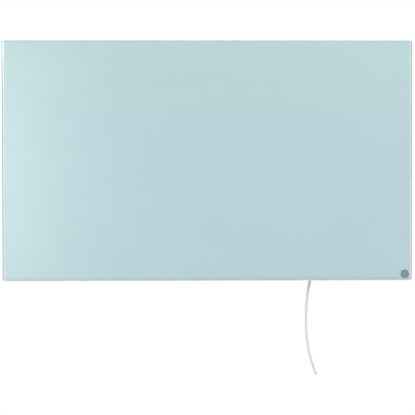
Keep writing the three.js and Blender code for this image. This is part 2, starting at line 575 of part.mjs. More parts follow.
// ---- Terminal box on the tray's back ----
function addTerminalBox() {
  const outline = (inset) => roundedOutline(
    BOX_WIDTH - 2 * inset, BOX_HEIGHT - 2 * inset, BOX_CORNER_RADIUS - inset, BOX_X, BOX_Z,
  );
  const clampTop = -CORD_DEPTH - CORD_RADIUS - SEAT_GAP;
  const clampX = CLAMP_WIDTH / 2;
  const inside = plate(outline(BOX_WALL), BOX_RIM + 1, BOX_DEPTH - BOX_WALL + 1);
  const shell = cut(plate(outline(0), BOX_RIM, BOX_DEPTH), [inside]);
  const walls = joined([
    shell,
    ...BOSSES.map(([x, z]) => barAlongY(BOSS_RADIUS, BOX_FLOOR - 0.5, BOX_RIM, x, z)),
    block(
      [BOX_X - clampX, BOX_FLOOR - 0.5, CLAMP_Z - CLAMP_HEIGHT / 2],
      [BOX_X + clampX, clampTop, CLAMP_Z + CLAMP_HEIGHT / 2],
    ),
  ]);
  const floorBore = (radius, [x, z]) => barAlongY(radius, BOX_FRONT - 1, BOX_FLOOR + 1, x, z);
  const screwBore = SMALL_SCREW_RADIUS + SEAT_GAP;
  const glandBore = GLAND_NECK_RADIUS + SEAT_GAP;
  const clampScrews = [-1, 1].map((side) => BOX_X + side * CLAMP_SCREW_SPACING / 2);
  addPiece('terminal_box_base', cut(walls, [
    ...BOSSES.map(([x, z]) => barAlongY(screwBore, BOX_RIM - LID_SCREW_LENGTH, BOX_RIM + 1, x, z)),
    ...clampScrews.map((x) => barAlongY(screwBore, BOX_FLOOR - 0.5, clampTop + 1, x, CLAMP_Z)),
    ...RIVETS.map((place) => floorBore(RIVET_RADIUS + SEAT_GAP, place)),
    floorBore(WIRE_HOLE_RADIUS, WIRE_HOLE),
    floorBore(STUD_RADIUS + SEAT_GAP, STUD),
    barAlongZ(glandBore, BOX_BOTTOM - 1, BOX_BOTTOM + BOX_WALL + 1, BOX_X, -CORD_DEPTH, 20),
  ]), 'boxPlastic');

  // The lid's holes are drawn wider by the rounding, which narrows them at their edges
  const lidHoles = BOSSES.map(([x, z]) => circleOutline(screwBore + LID_ROUNDING, x - BOX_X, z - BOX_Z, 12));
  const lid = edgedPlate(
    BOX_WIDTH, BOX_HEIGHT, BOX_CORNER_RADIUS, LID_ROUNDING, LID_BACK, LID_THICKNESS, lidHoles,
  );
  addPiece('terminal_box_lid', lid, 'boxPlastic', heater, [BOX_X, 0, BOX_Z]);

  BOSSES.forEach(([x, z], i) => {
    const screw = crossScrew(SMALL_SCREW_RADIUS * 2, 1.8, SMALL_SCREW_RADIUS, LID_SCREW_LENGTH);
    addPiece(`lid_screw_${i + 1}`, screw, 'zinc', heater, [x, LID_BACK + SEAT_GAP, z]);
  });
  RIVETS.forEach(([x, z], i) => {
    addPiece(`box_rivet_${i + 1}`, rivet(), 'zinc', heater, [x, BOX_FLOOR + SEAT_GAP, z]);
  });
  addCordClamp(clampScrews);
}

// The bar that grips the cord inside the box
function addCordClamp(screwPlaces) {
  const barFront = -CORD_DEPTH + 1;
  const barBack = -CORD_DEPTH + CORD_RADIUS + CLAMP_BAR_COVER;
  const bar = block(
    [BOX_X - CLAMP_WIDTH / 2, barFront, CLAMP_Z - CLAMP_HEIGHT / 2],
    [BOX_X + CLAMP_WIDTH / 2, barBack, CLAMP_Z + CLAMP_HEIGHT / 2],
  );
  const past = CLAMP_HEIGHT / 2 + 1;
  const screwBore = SMALL_SCREW_RADIUS + SEAT_GAP;
  addPiece('cord_clamp', cut(bar, [
    barAlongZ(CORD_RADIUS + SEAT_GAP, CLAMP_Z - past, CLAMP_Z + past, BOX_X, -CORD_DEPTH, 16),
    ...screwPlaces.map((x) => barAlongY(screwBore, barFront - 1, barBack + 1, x, CLAMP_Z)),
  ]), 'boxPlastic');
  screwPlaces.forEach((x, i) => {
    const length = barBack + SEAT_GAP - BOX_FLOOR - 1;
    const screw = crossScrew(SMALL_SCREW_RADIUS * 1.8, 1.4, SMALL_SCREW_RADIUS, length);
    addPiece(`clamp_screw_${i + 1}`, screw, 'zinc', heater, [x, barBack + SEAT_GAP, CLAMP_Z]);
  });
}

// ---- Terminal block, its screws, and the earth stud with its nut and ring terminal ----
function addTerminals() {
  const low = BLOCK_Z - BLOCK_HEIGHT / 2;
  const high = BLOCK_Z + BLOCK_HEIGHT / 2;
  const back = BLOCK_FRONT + BLOCK_DEPTH;
  const body = block([BOX_X - BLOCK_WIDTH / 2, BLOCK_FRONT, low], [BOX_X + BLOCK_WIDTH / 2, back, high]);
  addPiece('terminal_block', cut(body, POLES.flatMap(([, offset]) => [
    barAlongZ(POLE_BORE, low - 1, high + 1, BOX_X + offset, POLE_DEPTH, 12),
    barAlongY(POLE_WELL, POLE_DEPTH, back + 1, BOX_X + offset, BLOCK_Z, 12),
  ])), 'blockPlastic');
  const screwTop = POLE_DEPTH + LEAD_RADIUS + 2 * SEAT_GAP + TERMINAL_SCREW_LENGTH;
  for (const [name, offset] of POLES) {
    const screw = slottedScrew(POLE_WELL - SEAT_GAP, TERMINAL_SCREW_LENGTH);
    addPiece(`terminal_screw_${name}`, screw, 'zinc', heater, [BOX_X + offset, screwTop, BLOCK_Z]);
  }

  // The stud is welded inside the tray and stands through the box's floor
  const [studX, studZ] = STUD;
  const headTop = -TRAY_SHEET - SEAT_GAP;
  const headBottom = headTop - WELD_HEAD_HEIGHT;
  const studTop = headBottom + STUD_LENGTH;
  const stud = turned([
    [0, headBottom], [WELD_HEAD_RADIUS, headBottom], [WELD_HEAD_RADIUS, headTop], [STUD_RADIUS, headTop],
    [STUD_RADIUS, studTop - 1], [STUD_RADIUS * 0.7, studTop], [0, studTop],
  ], 12);
  addPiece('earth_stud', stud, 'zinc', heater, [studX, TRAY_BACK, studZ]);
  const nutBore = circleOutline(STUD_RADIUS + SEAT_GAP, 0, 0, 12);
  const nut = plate(circleOutline(NUT_RADIUS, 0, 0, 6), NUT_HEIGHT, NUT_HEIGHT, [nutBore]);
  addPiece('earth_nut', nut, 'zinc', heater, [studX, RING_TERMINAL_BACK + SEAT_GAP, studZ]);

  const ring = joined([
    plate(circleOutline(NUT_RADIUS, studX, studZ), RING_TERMINAL_BACK, TAB_THICKNESS),
    barAlongZ(BARREL_RADIUS, studZ + NUT_RADIUS + SEAT_GAP, RING_BARREL_END, studX, BARREL_Y, 10),
    block(
      [studX - 1.2, BOX_FLOOR + SEAT_GAP, studZ + STUD_RADIUS + 1],
      [studX + 1.2, RING_TERMINAL_BACK, studZ + NUT_RADIUS + 2],
    ),
  ]);
  const ringBore = barAlongY(STUD_RADIUS + SEAT_GAP, BOX_FLOOR, RING_TERMINAL_BACK + 1, studX, studZ);
  addPiece('ring_terminal', cut(ring, [ringBore]), 'copper');
}

// ---- Leads; their routes follow the pieces that they join ----
const LEAD_IN_TRAY = (BOARD_BACK + TRAY_INNER_BACK) / 2; // depth of the leads behind the board
const LEAD_ON_TAB = TAB_BACK - TAB_THICKNESS / 2 + 0.4;
const TAB_END = CUTOUT_SPACING / 2 + CUTOUT_TAB_REACH + SEAT_GAP;
const TAB_INNER_END = CUTOUT_SPACING / 2 - CUTOUT_TAB_REACH - SEAT_GAP;

// The last turn of a lead, through the board and foil on to its bus bar
function turnToBusbar([x, z]) {
  const side = Math.sign(x);
  return [
    [x - side * 22, LEAD_IN_TRAY, z], [x - side * 4, LEAD_IN_TRAY - 0.8, z],
    [x, LEAD_IN_TRAY - 7, z], [x, BUSBAR_BACK + SEAT_GAP, z],
  ];
}

function addLeads() {
  const blockTop = BLOCK_Z + BLOCK_HEIGHT / 2;
  const inBlock = blockTop - WIRE_GRIP;
  const turnZ = blockTop + 5;
  const underWall = BOX_Z + BOX_HEIGHT / 2 - BOX_WALL - LEAD_RADIUS - 2;
  const [holeX, holeZ] = WIRE_HOLE;
  const [studX] = STUD;
  const { lerp } = THREE.MathUtils;
  const [neutralX, earthX] = [BOX_X + POLE_SPACING, BOX_X - POLE_SPACING];

  const liveX = holeX - LEAD_SPREAD;
  addPiece('lead_live', wire([
    [BOX_X, POLE_DEPTH, inBlock], [BOX_X, POLE_DEPTH + 0.6, turnZ],
    [BOX_X + 3.5, POLE_DEPTH + 4, underWall], [BOX_X + 15, POLE_DEPTH + 5, underWall],
    [liveX - 4, POLE_DEPTH + 3.5, underWall - 6], [liveX - 0.3, POLE_DEPTH - 0.5, holeZ + 11],
    [liveX, BOX_FLOOR, holeZ + 1.5], [liveX, TRAY_BACK, holeZ - 1.5],
    [liveX - 1, LEAD_IN_TRAY, holeZ - 8], [liveX - 8, LEAD_IN_TRAY, holeZ - 13],
    [liveX - 17, LEAD_IN_TRAY, holeZ - 11], [liveX - 21, LEAD_IN_TRAY, holeZ],
    [liveX - 19, LEAD_IN_TRAY, lerp(holeZ, 0, 0.1)], [liveX - 14, LEAD_IN_TRAY, lerp(holeZ, 0, 0.27)],
    [liveX - 8, LEAD_IN_TRAY, lerp(holeZ, 0, 0.5)], [lerp(liveX, TAB_END, 0.17), LEAD_IN_TRAY, holeZ * 0.23],
    [lerp(liveX, TAB_END, 0.5), LEAD_IN_TRAY, holeZ * 0.05], [TAB_END + 15, LEAD_IN_TRAY, 1],
    [TAB_END, LEAD_ON_TAB, 0],
  ], LEAD_RADIUS, LONG_LEAD_STEP), 'live');

  const outX = holeX + LEAD_SPREAD;
  const [tail, tailZ] = [turnToBusbar([BUSBAR_X, NEUTRAL_TAIL_Z]), NEUTRAL_TAIL_Z];
  addPiece('lead_neutral', wire([
    [neutralX, POLE_DEPTH, inBlock], [neutralX, POLE_DEPTH, turnZ],
    [neutralX + 5, POLE_DEPTH - 0.5, underWall], [outX - 4.5, POLE_DEPTH - 1.5, underWall - 4],
    [outX, POLE_DEPTH - 2, holeZ + 9], [outX, BOX_FLOOR, holeZ + 1.2], [outX, TRAY_BACK, holeZ - 1.5],
    [outX + 1, LEAD_IN_TRAY, holeZ - 8], [outX + 8.5, LEAD_IN_TRAY, holeZ - 12],
    [lerp(outX, BUSBAR_X, 0.2), LEAD_IN_TRAY, holeZ - 6],
    [lerp(outX, BUSBAR_X, 0.56), LEAD_IN_TRAY, lerp(holeZ, tailZ, 0.8)], ...tail,
  ], LEAD_RADIUS, LONG_LEAD_STEP), 'neutral');

  const linkSag = 8;
  addPiece('lead_link', wire([
    [TAB_INNER_END, LEAD_ON_TAB, 0], [TAB_INNER_END - 20, LEAD_IN_TRAY, -1],
    [TAB_INNER_END * 0.37, LEAD_IN_TRAY, -linkSag], [-TAB_INNER_END * 0.37, LEAD_IN_TRAY, -linkSag],
    [20 - TAB_INNER_END, LEAD_IN_TRAY, -1], [-TAB_INNER_END, LEAD_ON_TAB, 0],
  ], LEAD_RADIUS, 2 * LONG_LEAD_STEP), 'live');
  addPiece('lead_return', wire([
    [-TAB_END, LEAD_ON_TAB, 0], [-TAB_END - 15, LEAD_IN_TRAY, -1],
    [-lerp(TAB_END, BUSBAR_X, 0.3), LEAD_IN_TRAY, -linkSag],
    [-lerp(TAB_END, BUSBAR_X, 0.7), LEAD_IN_TRAY, -linkSag],
    ...turnToBusbar([-BUSBAR_X, RETURN_TAIL_Z]),
  ], LEAD_RADIUS, LONG_LEAD_STEP), 'live');
  addPiece('lead_earth', wire([
    [earthX, POLE_DEPTH, inBlock], [earthX, POLE_DEPTH, turnZ], [earthX - 6, POLE_DEPTH - 0.5, underWall],
    [studX + 7, BARREL_Y + 0.7, underWall - 3], [studX, BARREL_Y, underWall - 13],
    [studX, BARREL_Y, RING_BARREL_END + SEAT_GAP],
  ], LEAD_RADIUS, SHORT_LEAD_STEP), 'earth');
}

// ---- Cord: its gland and strain relief, the stretch held in the box, and the free stretch ----
function coreOffsets() {
  return POLES.map(([name], i) => {
    const angle = Math.PI / 2 + (i - 1) * 2 * Math.PI / 3;
    return [name, -CORE_RING * Math.cos(angle), CORE_RING * Math.sin(angle)];
  });
}

function addCord() {
  const bore = CORD_RADIUS + SEAT_GAP;
  const neckTop = BOX_BOTTOM + BOX_WALL + SEAT_GAP;
  const turnedAlongZ = (profile, sides) => turned(profile, sides).rotateX(Math.PI / 2)
    .translate(BOX_X, -CORD_DEPTH, 0);
  const flangeBottom = GLAND_TOP - GLAND_FLANGE_HEIGHT;
  addPiece('cable_gland', turnedAlongZ([
    [bore, flangeBottom], [GLAND_FLANGE_RADIUS - 1, flangeBottom], [GLAND_FLANGE_RADIUS, flangeBottom + 1],
    [GLAND_FLANGE_RADIUS, GLAND_TOP], [GLAND_NECK_RADIUS, GLAND_TOP], [GLAND_NECK_RADIUS, neckTop],
    [GLAND_NECK_RADIUS + GLAND_BARB, neckTop], [GLAND_NECK_RADIUS, neckTop + 2], [bore, neckTop + 2],
    [bore, flangeBottom],
  ], 20), 'boxPlastic');

  // Each rib stands over a groove below it, and they widen towards the gland
  const ribPitch = RELIEF_LENGTH / RELIEF_RIBS;
  const ribs = Array.from({ length: RELIEF_RIBS }, (_, rib) => {
    const radius = THREE.MathUtils.lerp(RELIEF_END_RADIUS, RELIEF_TOP_RADIUS, rib / (RELIEF_RIBS - 1));
    const groove = radius - RELIEF_RIB_RISE;
    const bottom = CORD_START + rib * ribPitch;
    return [
      [groove, bottom], [groove, bottom + ribPitch * 0.35],
      [radius, bottom + ribPitch * 0.45], [radius, bottom + ribPitch * 0.9],
    ];
  }).flat();
  addPiece('strain_relief', turnedAlongZ([
    [bore, CORD_START], ...ribs, [bore, RELIEF_TOP], [bore, CORD_START],
  ], 16), 'rubber');

  const innerEnd = barAlongZ(CORD_RADIUS, CORD_START, SHEATH_END, BOX_X, -CORD_DEPTH, 12);
  addPiece('cord_inner_end', innerEnd, 'sheath');
  const blockBottom = BLOCK_Z - BLOCK_HEIGHT / 2;
  coreOffsets().forEach(([name, offsetX, offsetY], i) => {
    const poleX = BOX_X + POLES[i][1];
    const startZ = SHEATH_END + SEAT_GAP;
    const rise = blockBottom - startZ;
    addPiece(`inner_core_${name}`, wire([
      [BOX_X + offsetX, offsetY - CORD_DEPTH, startZ],
      [BOX_X + offsetX, offsetY - CORD_DEPTH, startZ + rise * 0.2],
      [poleX, POLE_DEPTH, blockBottom - rise * 0.2], [poleX, POLE_DEPTH, blockBottom + WIRE_GRIP],
    ], CORE_RADIUS, SHORT_LEAD_STEP), name);
  });

  const route = CORD_ROUTE.map(([x, z]) => [BOX_X + x, -CORD_DEPTH, CORD_START - SEAT_GAP + z]);
  addPiece('cord', wire(route, CORD_RADIUS, CORD_STEP, 10), 'sheath');
  addCordEnd(route);
}

// The cord's bare end: three cores, each with its copper just showing
function addCordEnd(route) {
  const [endX, , endZ] = route.at(-1);
  const [beforeX, , beforeZ] = route.at(-2);
  const along = new THREE.Vector3(endX - beforeX, 0, endZ - beforeZ).normalize();
  const across = new THREE.Vector3(-along.z, 0, along.x);
  const at = (distance, offsetX, offsetY) => new THREE.Vector3(endX, -CORD_DEPTH + offsetY, endZ)
    .addScaledVector(along, distance).addScaledVector(across, offsetX).toArray();
  for (const [name, offsetX, offsetY] of coreOffsets()) {
    const coreEnd = SEAT_GAP + CORE_SHOWN;
    const copperStart = coreEnd + SEAT_GAP;
    const copperEnd = copperStart + COPPER_SHOWN;
    const straight = (from, to, radius, sides) => wire(
      [at(from, offsetX, offsetY), at(to, offsetX, offsetY)], radius, to - from + 1, sides,
    );
    addPiece(`core_end_${name}`, straight(SEAT_GAP, coreEnd, CORE_RADIUS, 8), name);
    addPiece(`copper_end_${name}`, straight(copperStart, copperEnd, COPPER_RADIUS, 6), 'copper');
  }
}

addFront();
addTray();
addHeatingStack();
addHangers();
addWallRails();
addTerminalBox();
addTerminals();
addLeads();
addCord();

export default part;
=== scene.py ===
# %% [markdown]
# # An infrared panel heater, dressed over its CAD model
# The real heater is a frameless glass pane bonded to a shallow steel tray. It hangs on two wall rails,
# and a short white cord leaves it below. The CAD model gives every piece its place, and this lesson
# gives them their looks: some pieces only get a better finish, and those with soft or fine edges are
# made again at the same place. Sizes are in millimetres in the cells, and in metres in Blender.

# %% Load the CAD model
import json
import math

import bmesh
import bpy
from mathutils import Matrix, Vector


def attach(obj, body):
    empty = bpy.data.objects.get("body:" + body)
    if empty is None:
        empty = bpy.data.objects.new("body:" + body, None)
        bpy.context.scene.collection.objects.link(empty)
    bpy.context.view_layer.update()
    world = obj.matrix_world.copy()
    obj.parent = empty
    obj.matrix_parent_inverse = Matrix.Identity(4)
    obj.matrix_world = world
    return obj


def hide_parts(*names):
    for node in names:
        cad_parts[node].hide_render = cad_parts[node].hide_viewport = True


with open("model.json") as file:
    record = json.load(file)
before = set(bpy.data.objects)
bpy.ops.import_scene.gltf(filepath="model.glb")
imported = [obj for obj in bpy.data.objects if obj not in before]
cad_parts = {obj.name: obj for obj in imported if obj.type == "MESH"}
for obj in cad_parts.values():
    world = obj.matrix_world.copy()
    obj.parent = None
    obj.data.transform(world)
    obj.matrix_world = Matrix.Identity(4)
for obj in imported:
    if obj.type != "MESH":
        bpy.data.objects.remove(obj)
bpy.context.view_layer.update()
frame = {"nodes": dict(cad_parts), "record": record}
MM = 0.001


def link(name, data, *materials):
    """An object of this data in the scene, wearing the materials."""
    made = bpy.data.objects.new(name, data)
    bpy.context.collection.objects.link(made)
    for material in materials:
        data.materials.append(material)
    return made


# %% [markdown]
# ## Camera
# The picture was taken almost square on, from three metres and a little left of and below the middle.
# The camera's rotation is worked out from where the lens looks, which is easier to check than three
# typed angles: the matrix's columns are the camera's right, up and backward axes.

# %% Camera
CAMERA_PLACE, CAMERA_LENS = Vector((-0.0448, -3.0568, -0.2284)), 106.67
YAW, PITCH, ROLL = math.radians(0.849), math.radians(-1.061), math.radians(-0.078)
look = Vector((math.sin(YAW) * math.cos(PITCH), math.cos(YAW) * math.cos(PITCH), math.sin(PITCH)))
level_right = Vector((math.cos(YAW), -math.sin(YAW), 0))
level_up = level_right.cross(look)
right = level_right * math.cos(ROLL) + level_up * math.sin(ROLL)
up = level_up * math.cos(ROLL) - level_right * math.sin(ROLL)

camera = link("camera", bpy.data.cameras.new("camera"))
camera.data.lens = CAMERA_LENS  # for Blender's usual sensor, 36 mm wide
camera_turn = Matrix((right, up, -look)).transposed().to_4x4()
camera.matrix_world = Matrix.Translation(CAMERA_PLACE) @ camera_turn
bpy.context.scene.camera = camera
bpy.context.scene.view_settings.view_transform = "Standard"
print("camera looks along", tuple(round(x, 3) for x in look))

# %% [markdown]
# ## Nodes as Python
# Materials and Geometry Nodes are both trees of nodes. One small class holds a tree and adds nodes to
# it, and a second wraps a node's output so that `+ - * /` between outputs add the Math nodes. A pattern
# then reads as a formula.

# %% A tree of nodes, and its values
class Value:
    """One output of a node. Arithmetic on it adds Math nodes to its tree."""

    def __init__(self, tree, socket):
        self.tree, self.socket = tree, socket

    def math(self, operation, *others):
        numbers = dict(enumerate((self, *others)))
        return self.tree.node("ShaderNodeMath", numbers, operation=operation)

    def __add__(self, other):
        return self.math("ADD", other)

    def __sub__(self, other):
        return self.math("SUBTRACT", other)

    def __rsub__(self, other):
        return self * -1 + other

    def __mul__(self, other):
        return self.math("MULTIPLY", other)

    def __truediv__(self, other):
        return self.math("DIVIDE", other)

    __radd__, __rmul__ = __add__, __mul__

    def between(self, low, high):
        """0 below low, 1 above high, and smooth in between."""
        span = {0: self, 1: low, 2: high}
        return self.tree.node("ShaderNodeMapRange", span, interpolation_type="SMOOTHSTEP")


class NodeTree:
    """A tree that nodes are added to. Their settings come first, since sockets can depend on them."""

    def __init__(self, tree):
        self.tree = tree
        tree.nodes.clear()

    def node(self, kind, sockets=None, output=0, **settings):
        made = self.tree.nodes.new(kind)
        for name, value in settings.items():
            setattr(made, name, value)
        for name, value in (sockets or {}).items():
            if isinstance(value, Value):
                self.tree.links.new(value.socket, made.inputs[name])
            else:
                made.inputs[name].default_value = value
        return Value(self, made.outputs[output]) if made.outputs else made

    def vector(self, operation, *values, output=0):
        """A Vector Math node of these values."""
        numbers = dict(enumerate(values))
        return self.node("ShaderNodeVectorMath", numbers, output, operation=operation)


def paint(red, green, blue):
    """A colour as a paint chip gives it, 0 to 255, in the linear numbers that shaders use."""
    linear = [
        c / 12.92 if c <= 0.04045 else ((c + 0.055) / 1.055) ** 2.4
        for c in (red / 255, green / 255, blue / 255)
    ]
    return (*linear, 1)


print("white paint is", paint(255, 255, 255))

# %% [markdown]
# ## A finish
# A finish is a material whose nodes are in a NodeTree. Every pattern is measured in millimetres on the
# object itself, so `noise(40)` has blotches about 40 mm across. What is the same all over a surface is
# typed into the shader's own socket, and what varies is linked to it.

# %% Finish: a material made of patterns
finished = {}  # every finish, by the name of its slot


class Finish(NodeTree):
    def __init__(self, name, centre=(0, 0, 0)):
        self.material = finished[name] = bpy.data.materials.new(name)
        self.material.use_nodes = True
        super().__init__(self.material.node_tree)
        on_object = self.node("ShaderNodeTexCoord", output="Object")
        away = tuple(-c for c in centre)
        self.place = self.vector("MULTIPLY_ADD", on_object, (1 / MM,) * 3, away)

    def axis(self, name):
        return self.node("ShaderNodeSeparateXYZ", {0: self.place}, output=name)

    def noise(self, size, detail=2.0, stretch=(1, 1, 1)):
        """0 to 1, in blotches about size mm across, drawn out along an axis by its stretch."""
        scale = tuple(1 / (size * s) for s in stretch)
        drawn = self.vector("MULTIPLY", self.place, scale)
        return self.node("ShaderNodeTexNoise", {"Vector": drawn, "Scale": 1.0, "Detail": detail})

    def cells(self, size, feature="F1", output="Distance"):
        """Cells about size mm across: the distance to their middles, or a random colour for each."""
        sockets = {"Vector": self.place, "Scale": 1 / size}
        return self.node("ShaderNodeTexVoronoi", sockets, output, feature=feature)

    def mix(self, factor, first, second):
        """The first colour where the factor is 0, and the second where it is 1."""
        sockets = {0: factor, 6: first, 7: second}
        return self.node("ShaderNodeMix", sockets, output=2, data_type="RGBA")

    def bump(self, height, depth):
        """A normal tilted by height, where 1 stands depth mm above 0."""
        sockets = {"Strength": 1.0, "Distance": depth * MM, "Height": height}
        return self.node("ShaderNodeBump", sockets)

    def surface(self, **sockets):
        """The Principled shader, with _ in a name for a space, on the material's output."""
        named = {name.replace("_", " "): value for name, value in sockets.items()}
        shader = self.node("ShaderNodeBsdfPrincipled", named)
        self.node("ShaderNodeOutputMaterial", {"Surface": shader})
        return self.material


print("finishes can be made now")

# %% [markdown]
# ## White cord sheath
# The cord is white PVC, extruded, so it has a soft sheen with faint streaks along it and a very fine
# grain. A flat white would look like paper. A low bump and a small change of roughness are enough.

# %% Cord sheath finish
sheath = Finish("cord_sheath")
streaks = sheath.noise(1.2, stretch=(1, 1, 14))
grain = sheath.noise(0.25)
cord_sheath = sheath.surface(
    Base_Color=sheath.mix(streaks, paint(215, 217, 217), paint(227, 228, 228)),
    Roughness=0.36 + 0.14 * streaks,
    Normal=sheath.bump(streaks * 0.7 + grain * 0.3, 0.02),
    Specular_IOR_Level=0.45,
)
print("finishes so far:", len(finished))

# %% [markdown]
# ## Cord
# The cord hangs under its own weight and ends in a blunt cut. It is a curve of one open spline with a
# round bevel, because a curve keeps its real length and can be measured. The points are the CAD cord's
# own route, and the first ones go straight down, since the strain relief holds the cord straight.

# %% Cord
CORD_EXIT = (254.5, -17.5, -454.9)
CORD_RADIUS = 3.5
CORD_ROUTE = [
    (0, 0), (0, -5), (-0.5, -11), (-1.9, -19), (-4.1, -28), (-5.7, -38), (-6.9, -49), (-7.9, -61),
    (-8.8, -73), (-9.4, -86), (-9.7, -99), (-9.8, -112), (-9.6, -125), (-9.1, -137), (-8.2, -149),
    (-6.9, -161), (-5.1, -173), (-2.9, -185), (-0.2, -196), (2.8, -207), (5.9, -217), (9.1, -227),
    (12.5, -237), (14.5, -242.9),
]
cord_points = [Vector((CORD_EXIT[0] + x, CORD_EXIT[1], CORD_EXIT[2] + z)) * MM for x, z in CORD_ROUTE]
line = bpy.data.curves.new("supply_cord", "CURVE")
line.dimensions = "3D"
line.bevel_depth = CORD_RADIUS * MM
line.bevel_resolution = 7
line.resolution_u = 6
line.use_fill_caps = True
spline = line.splines.new("NURBS")
spline.points.add(len(cord_points) - 1)
for point, place in zip(spline.points, cord_points):
    point.co = (*place, 1)
spline.order_u = 4
spline.use_endpoint_u = True
supply_cord = link("supply_cord", line, cord_sheath)

# %% [markdown]
# ## Geometry Nodes from Python
# What repeats is made by Geometry Nodes. A tree has named inputs for its sizes, and a modifier sets
# them by the socket's identifier, because names can repeat. The result is then frozen into a plain
# mesh, so that nothing in the scene is left to work out later.

# %% Geometry tree and how to run it
class GeometryTree(NodeTree):
    def __init__(self, name):
        super().__init__(bpy.data.node_groups.new(name, "GeometryNodeTree"))
        self.entry, self.identifiers = self.tree.nodes.new("NodeGroupInput"), {}
        self.source = self.input("Geometry", "NodeSocketGeometry")
        self.tree.interface.new_socket("Geometry", in_out="OUTPUT", socket_type="NodeSocketGeometry")

    def input(self, name, kind="NodeSocketFloat"):
        """The tree's input of this name, added when it is first asked for."""
        if name not in self.identifiers:
            socket = self.tree.interface.new_socket(name, in_out="INPUT", socket_type=kind)
            self.identifiers[name] = socket.identifier
        return Value(self, self.entry.outputs[name])

    def shape_of(self, name):
        """The shape of an object that is given as an input."""
        given = {"Object": self.input(name, "NodeSocketObject")}
        return self.node("GeometryNodeObjectInfo", given, output="Geometry")

    def on_points(self, points, instance, turn=(0, 0, 0)):
        """The instance on every point."""
        sockets = {"Points": points, "Instance": instance, "Rotation": turn}
        return self.node("GeometryNodeInstanceOnPoints", sockets)

    def join(self, *geometries):
        joint = self.tree.nodes.new("GeometryNodeJoinGeometry")
        for geometry in geometries:
            self.tree.links.new(geometry.socket, joint.inputs[0])
        return Value(self, joint.outputs[0])

    def finish(self, geometry):
        """Ends the tree in real geometry that wears the material given as an input."""
        real = self.node("GeometryNodeRealizeInstances", {0: geometry})
        worn = {"Geometry": real, "Material": self.input("Material", "NodeSocketMaterial")}
        dressed = self.node("GeometryNodeSetMaterial", worn)
        self.node("NodeGroupOutput", {0: dressed})


def run_tree(tree, name, source, material, **inputs):
    """Runs the tree on a source mesh and returns the result as a plain mesh."""
    holder = link(name, source)
    modifier = holder.modifiers.new("made", "NODES")
    modifier.node_group = tree.tree
    modifier[tree.identifiers["Material"]] = material
    for key, value in inputs.items():
        modifier[tree.identifiers[key.replace("_", " ")]] = value
    return frozen(holder)


def frozen(holder):
    """The object's shape after its modifiers, as a plain mesh. The object and its old mesh go."""
    bpy.context.view_layer.update()
    ready = holder.evaluated_get(bpy.context.evaluated_depsgraph_get())
    mesh = bpy.data.meshes.new_from_object(ready)
    name, old_mesh = holder.name, holder.data
    bpy.data.objects.remove(holder)
    bpy.data.meshes.remove(old_mesh)
    mesh.name = name
    return mesh


def bare_mesh(name, points, faces=()):
    """A mesh of these points, with faces or with none, for a tree to put things on."""
    mesh = bpy.data.meshes.new(name)
    mesh.from_pydata([Vector(p) * MM for p in points], [], faces)
    return mesh


print("geometry trees can be run now")

# %% [markdown]
# ## Core insulation and copper
# Brown is live, blue is neutral, and green with a yellow stripe is earth. The stripe winds round the
# real wire in a long turn. Here it is a sine wave across the wire and along it, which gives slanting
# bands on any run of it. The copper is bright in places and duller where it has aged.

# %% Core finishes
def core_finish(name, colour, stripe=None):
    core = Finish(name)
    tone = core.noise(0.8, stretch=(1, 1, 5))
    darker = tuple(c * 0.8 for c in colour[:3]) + (1,)
    shade = core.mix(tone, darker, colour)
    if stripe:
        wave = core.axis("X") * 1.9 + core.axis("Z") * 0.25
        band = wave.math("SINE").between(0.05, 0.25)
        shade = core.mix(band, shade, stripe)
    return core.surface(
        Base_Color=shade, Roughness=0.38 + 0.15 * tone, Normal=core.bump(tone, 0.03)
    )


core_colours = {
    "earth": core_finish("green_insulation", paint(74, 132, 52), stripe=paint(214, 190, 60)),
    "live": core_finish("brown_insulation", paint(112, 70, 42)),
    "neutral": core_finish("blue_insulation", paint(46, 98, 166)),
}

wire = Finish("copper")
age = wire.noise(6, detail=4)
scratches = wire.noise(0.5, stretch=(1, 1, 30))
copper = wire.surface(
    Base_Color=wire.mix(age, paint(176, 106, 70), paint(221, 150, 112)),
    Metallic=1.0,
    Roughness=0.24 + 0.2 * age,
    Normal=wire.bump(scratches, 0.02),
)
print("finishes so far:", len(finished))

# %% [markdown]
# ## The cord's cut end
# The cut is square and blunt, so each core only just stands out of the sheath, and its copper out of
# the core. The copper is a bundle of 19 fine wires in rings of 1, 6 and 12. That repeats, so a tree
# puts one wire on every point of the rings and tilts each a little, as a cut bundle does.

# %% Strands of copper, as a tree
STRAND_RINGS = ((6, 0.4), (12, 0.8))
LEAN_LIMIT, LEAN_SEED = 0.09, 7
strand_tree = GeometryTree("strands")
bundle_radius, strand_radius, strand_length = (
    strand_tree.input(size) for size in ("Bundle radius", "Strand radius", "Strand length")
)
middle = strand_tree.node("GeometryNodeMeshLine", {"Count": 1})
circles = [
    strand_tree.node(
        "GeometryNodeMeshCircle", {"Vertices": count, "Radius": bundle_radius * share}
    )
    for count, share in STRAND_RINGS
]
one_strand = strand_tree.node(
    "GeometryNodeMeshCylinder", {"Vertices": 8, "Radius": strand_radius, "Depth": strand_length}
)
lean = strand_tree.node(
    "FunctionNodeRandomValue", {0: (-LEAN_LIMIT,) * 3, 1: (LEAN_LIMIT,) * 3, "Seed": LEAN_SEED},
    data_type="FLOAT_VECTOR",
)
strand_tree.finish(strand_tree.on_points(strand_tree.join(middle, *circles), one_strand, lean))
print("strand tree has", len(strand_tree.tree.nodes), "nodes")

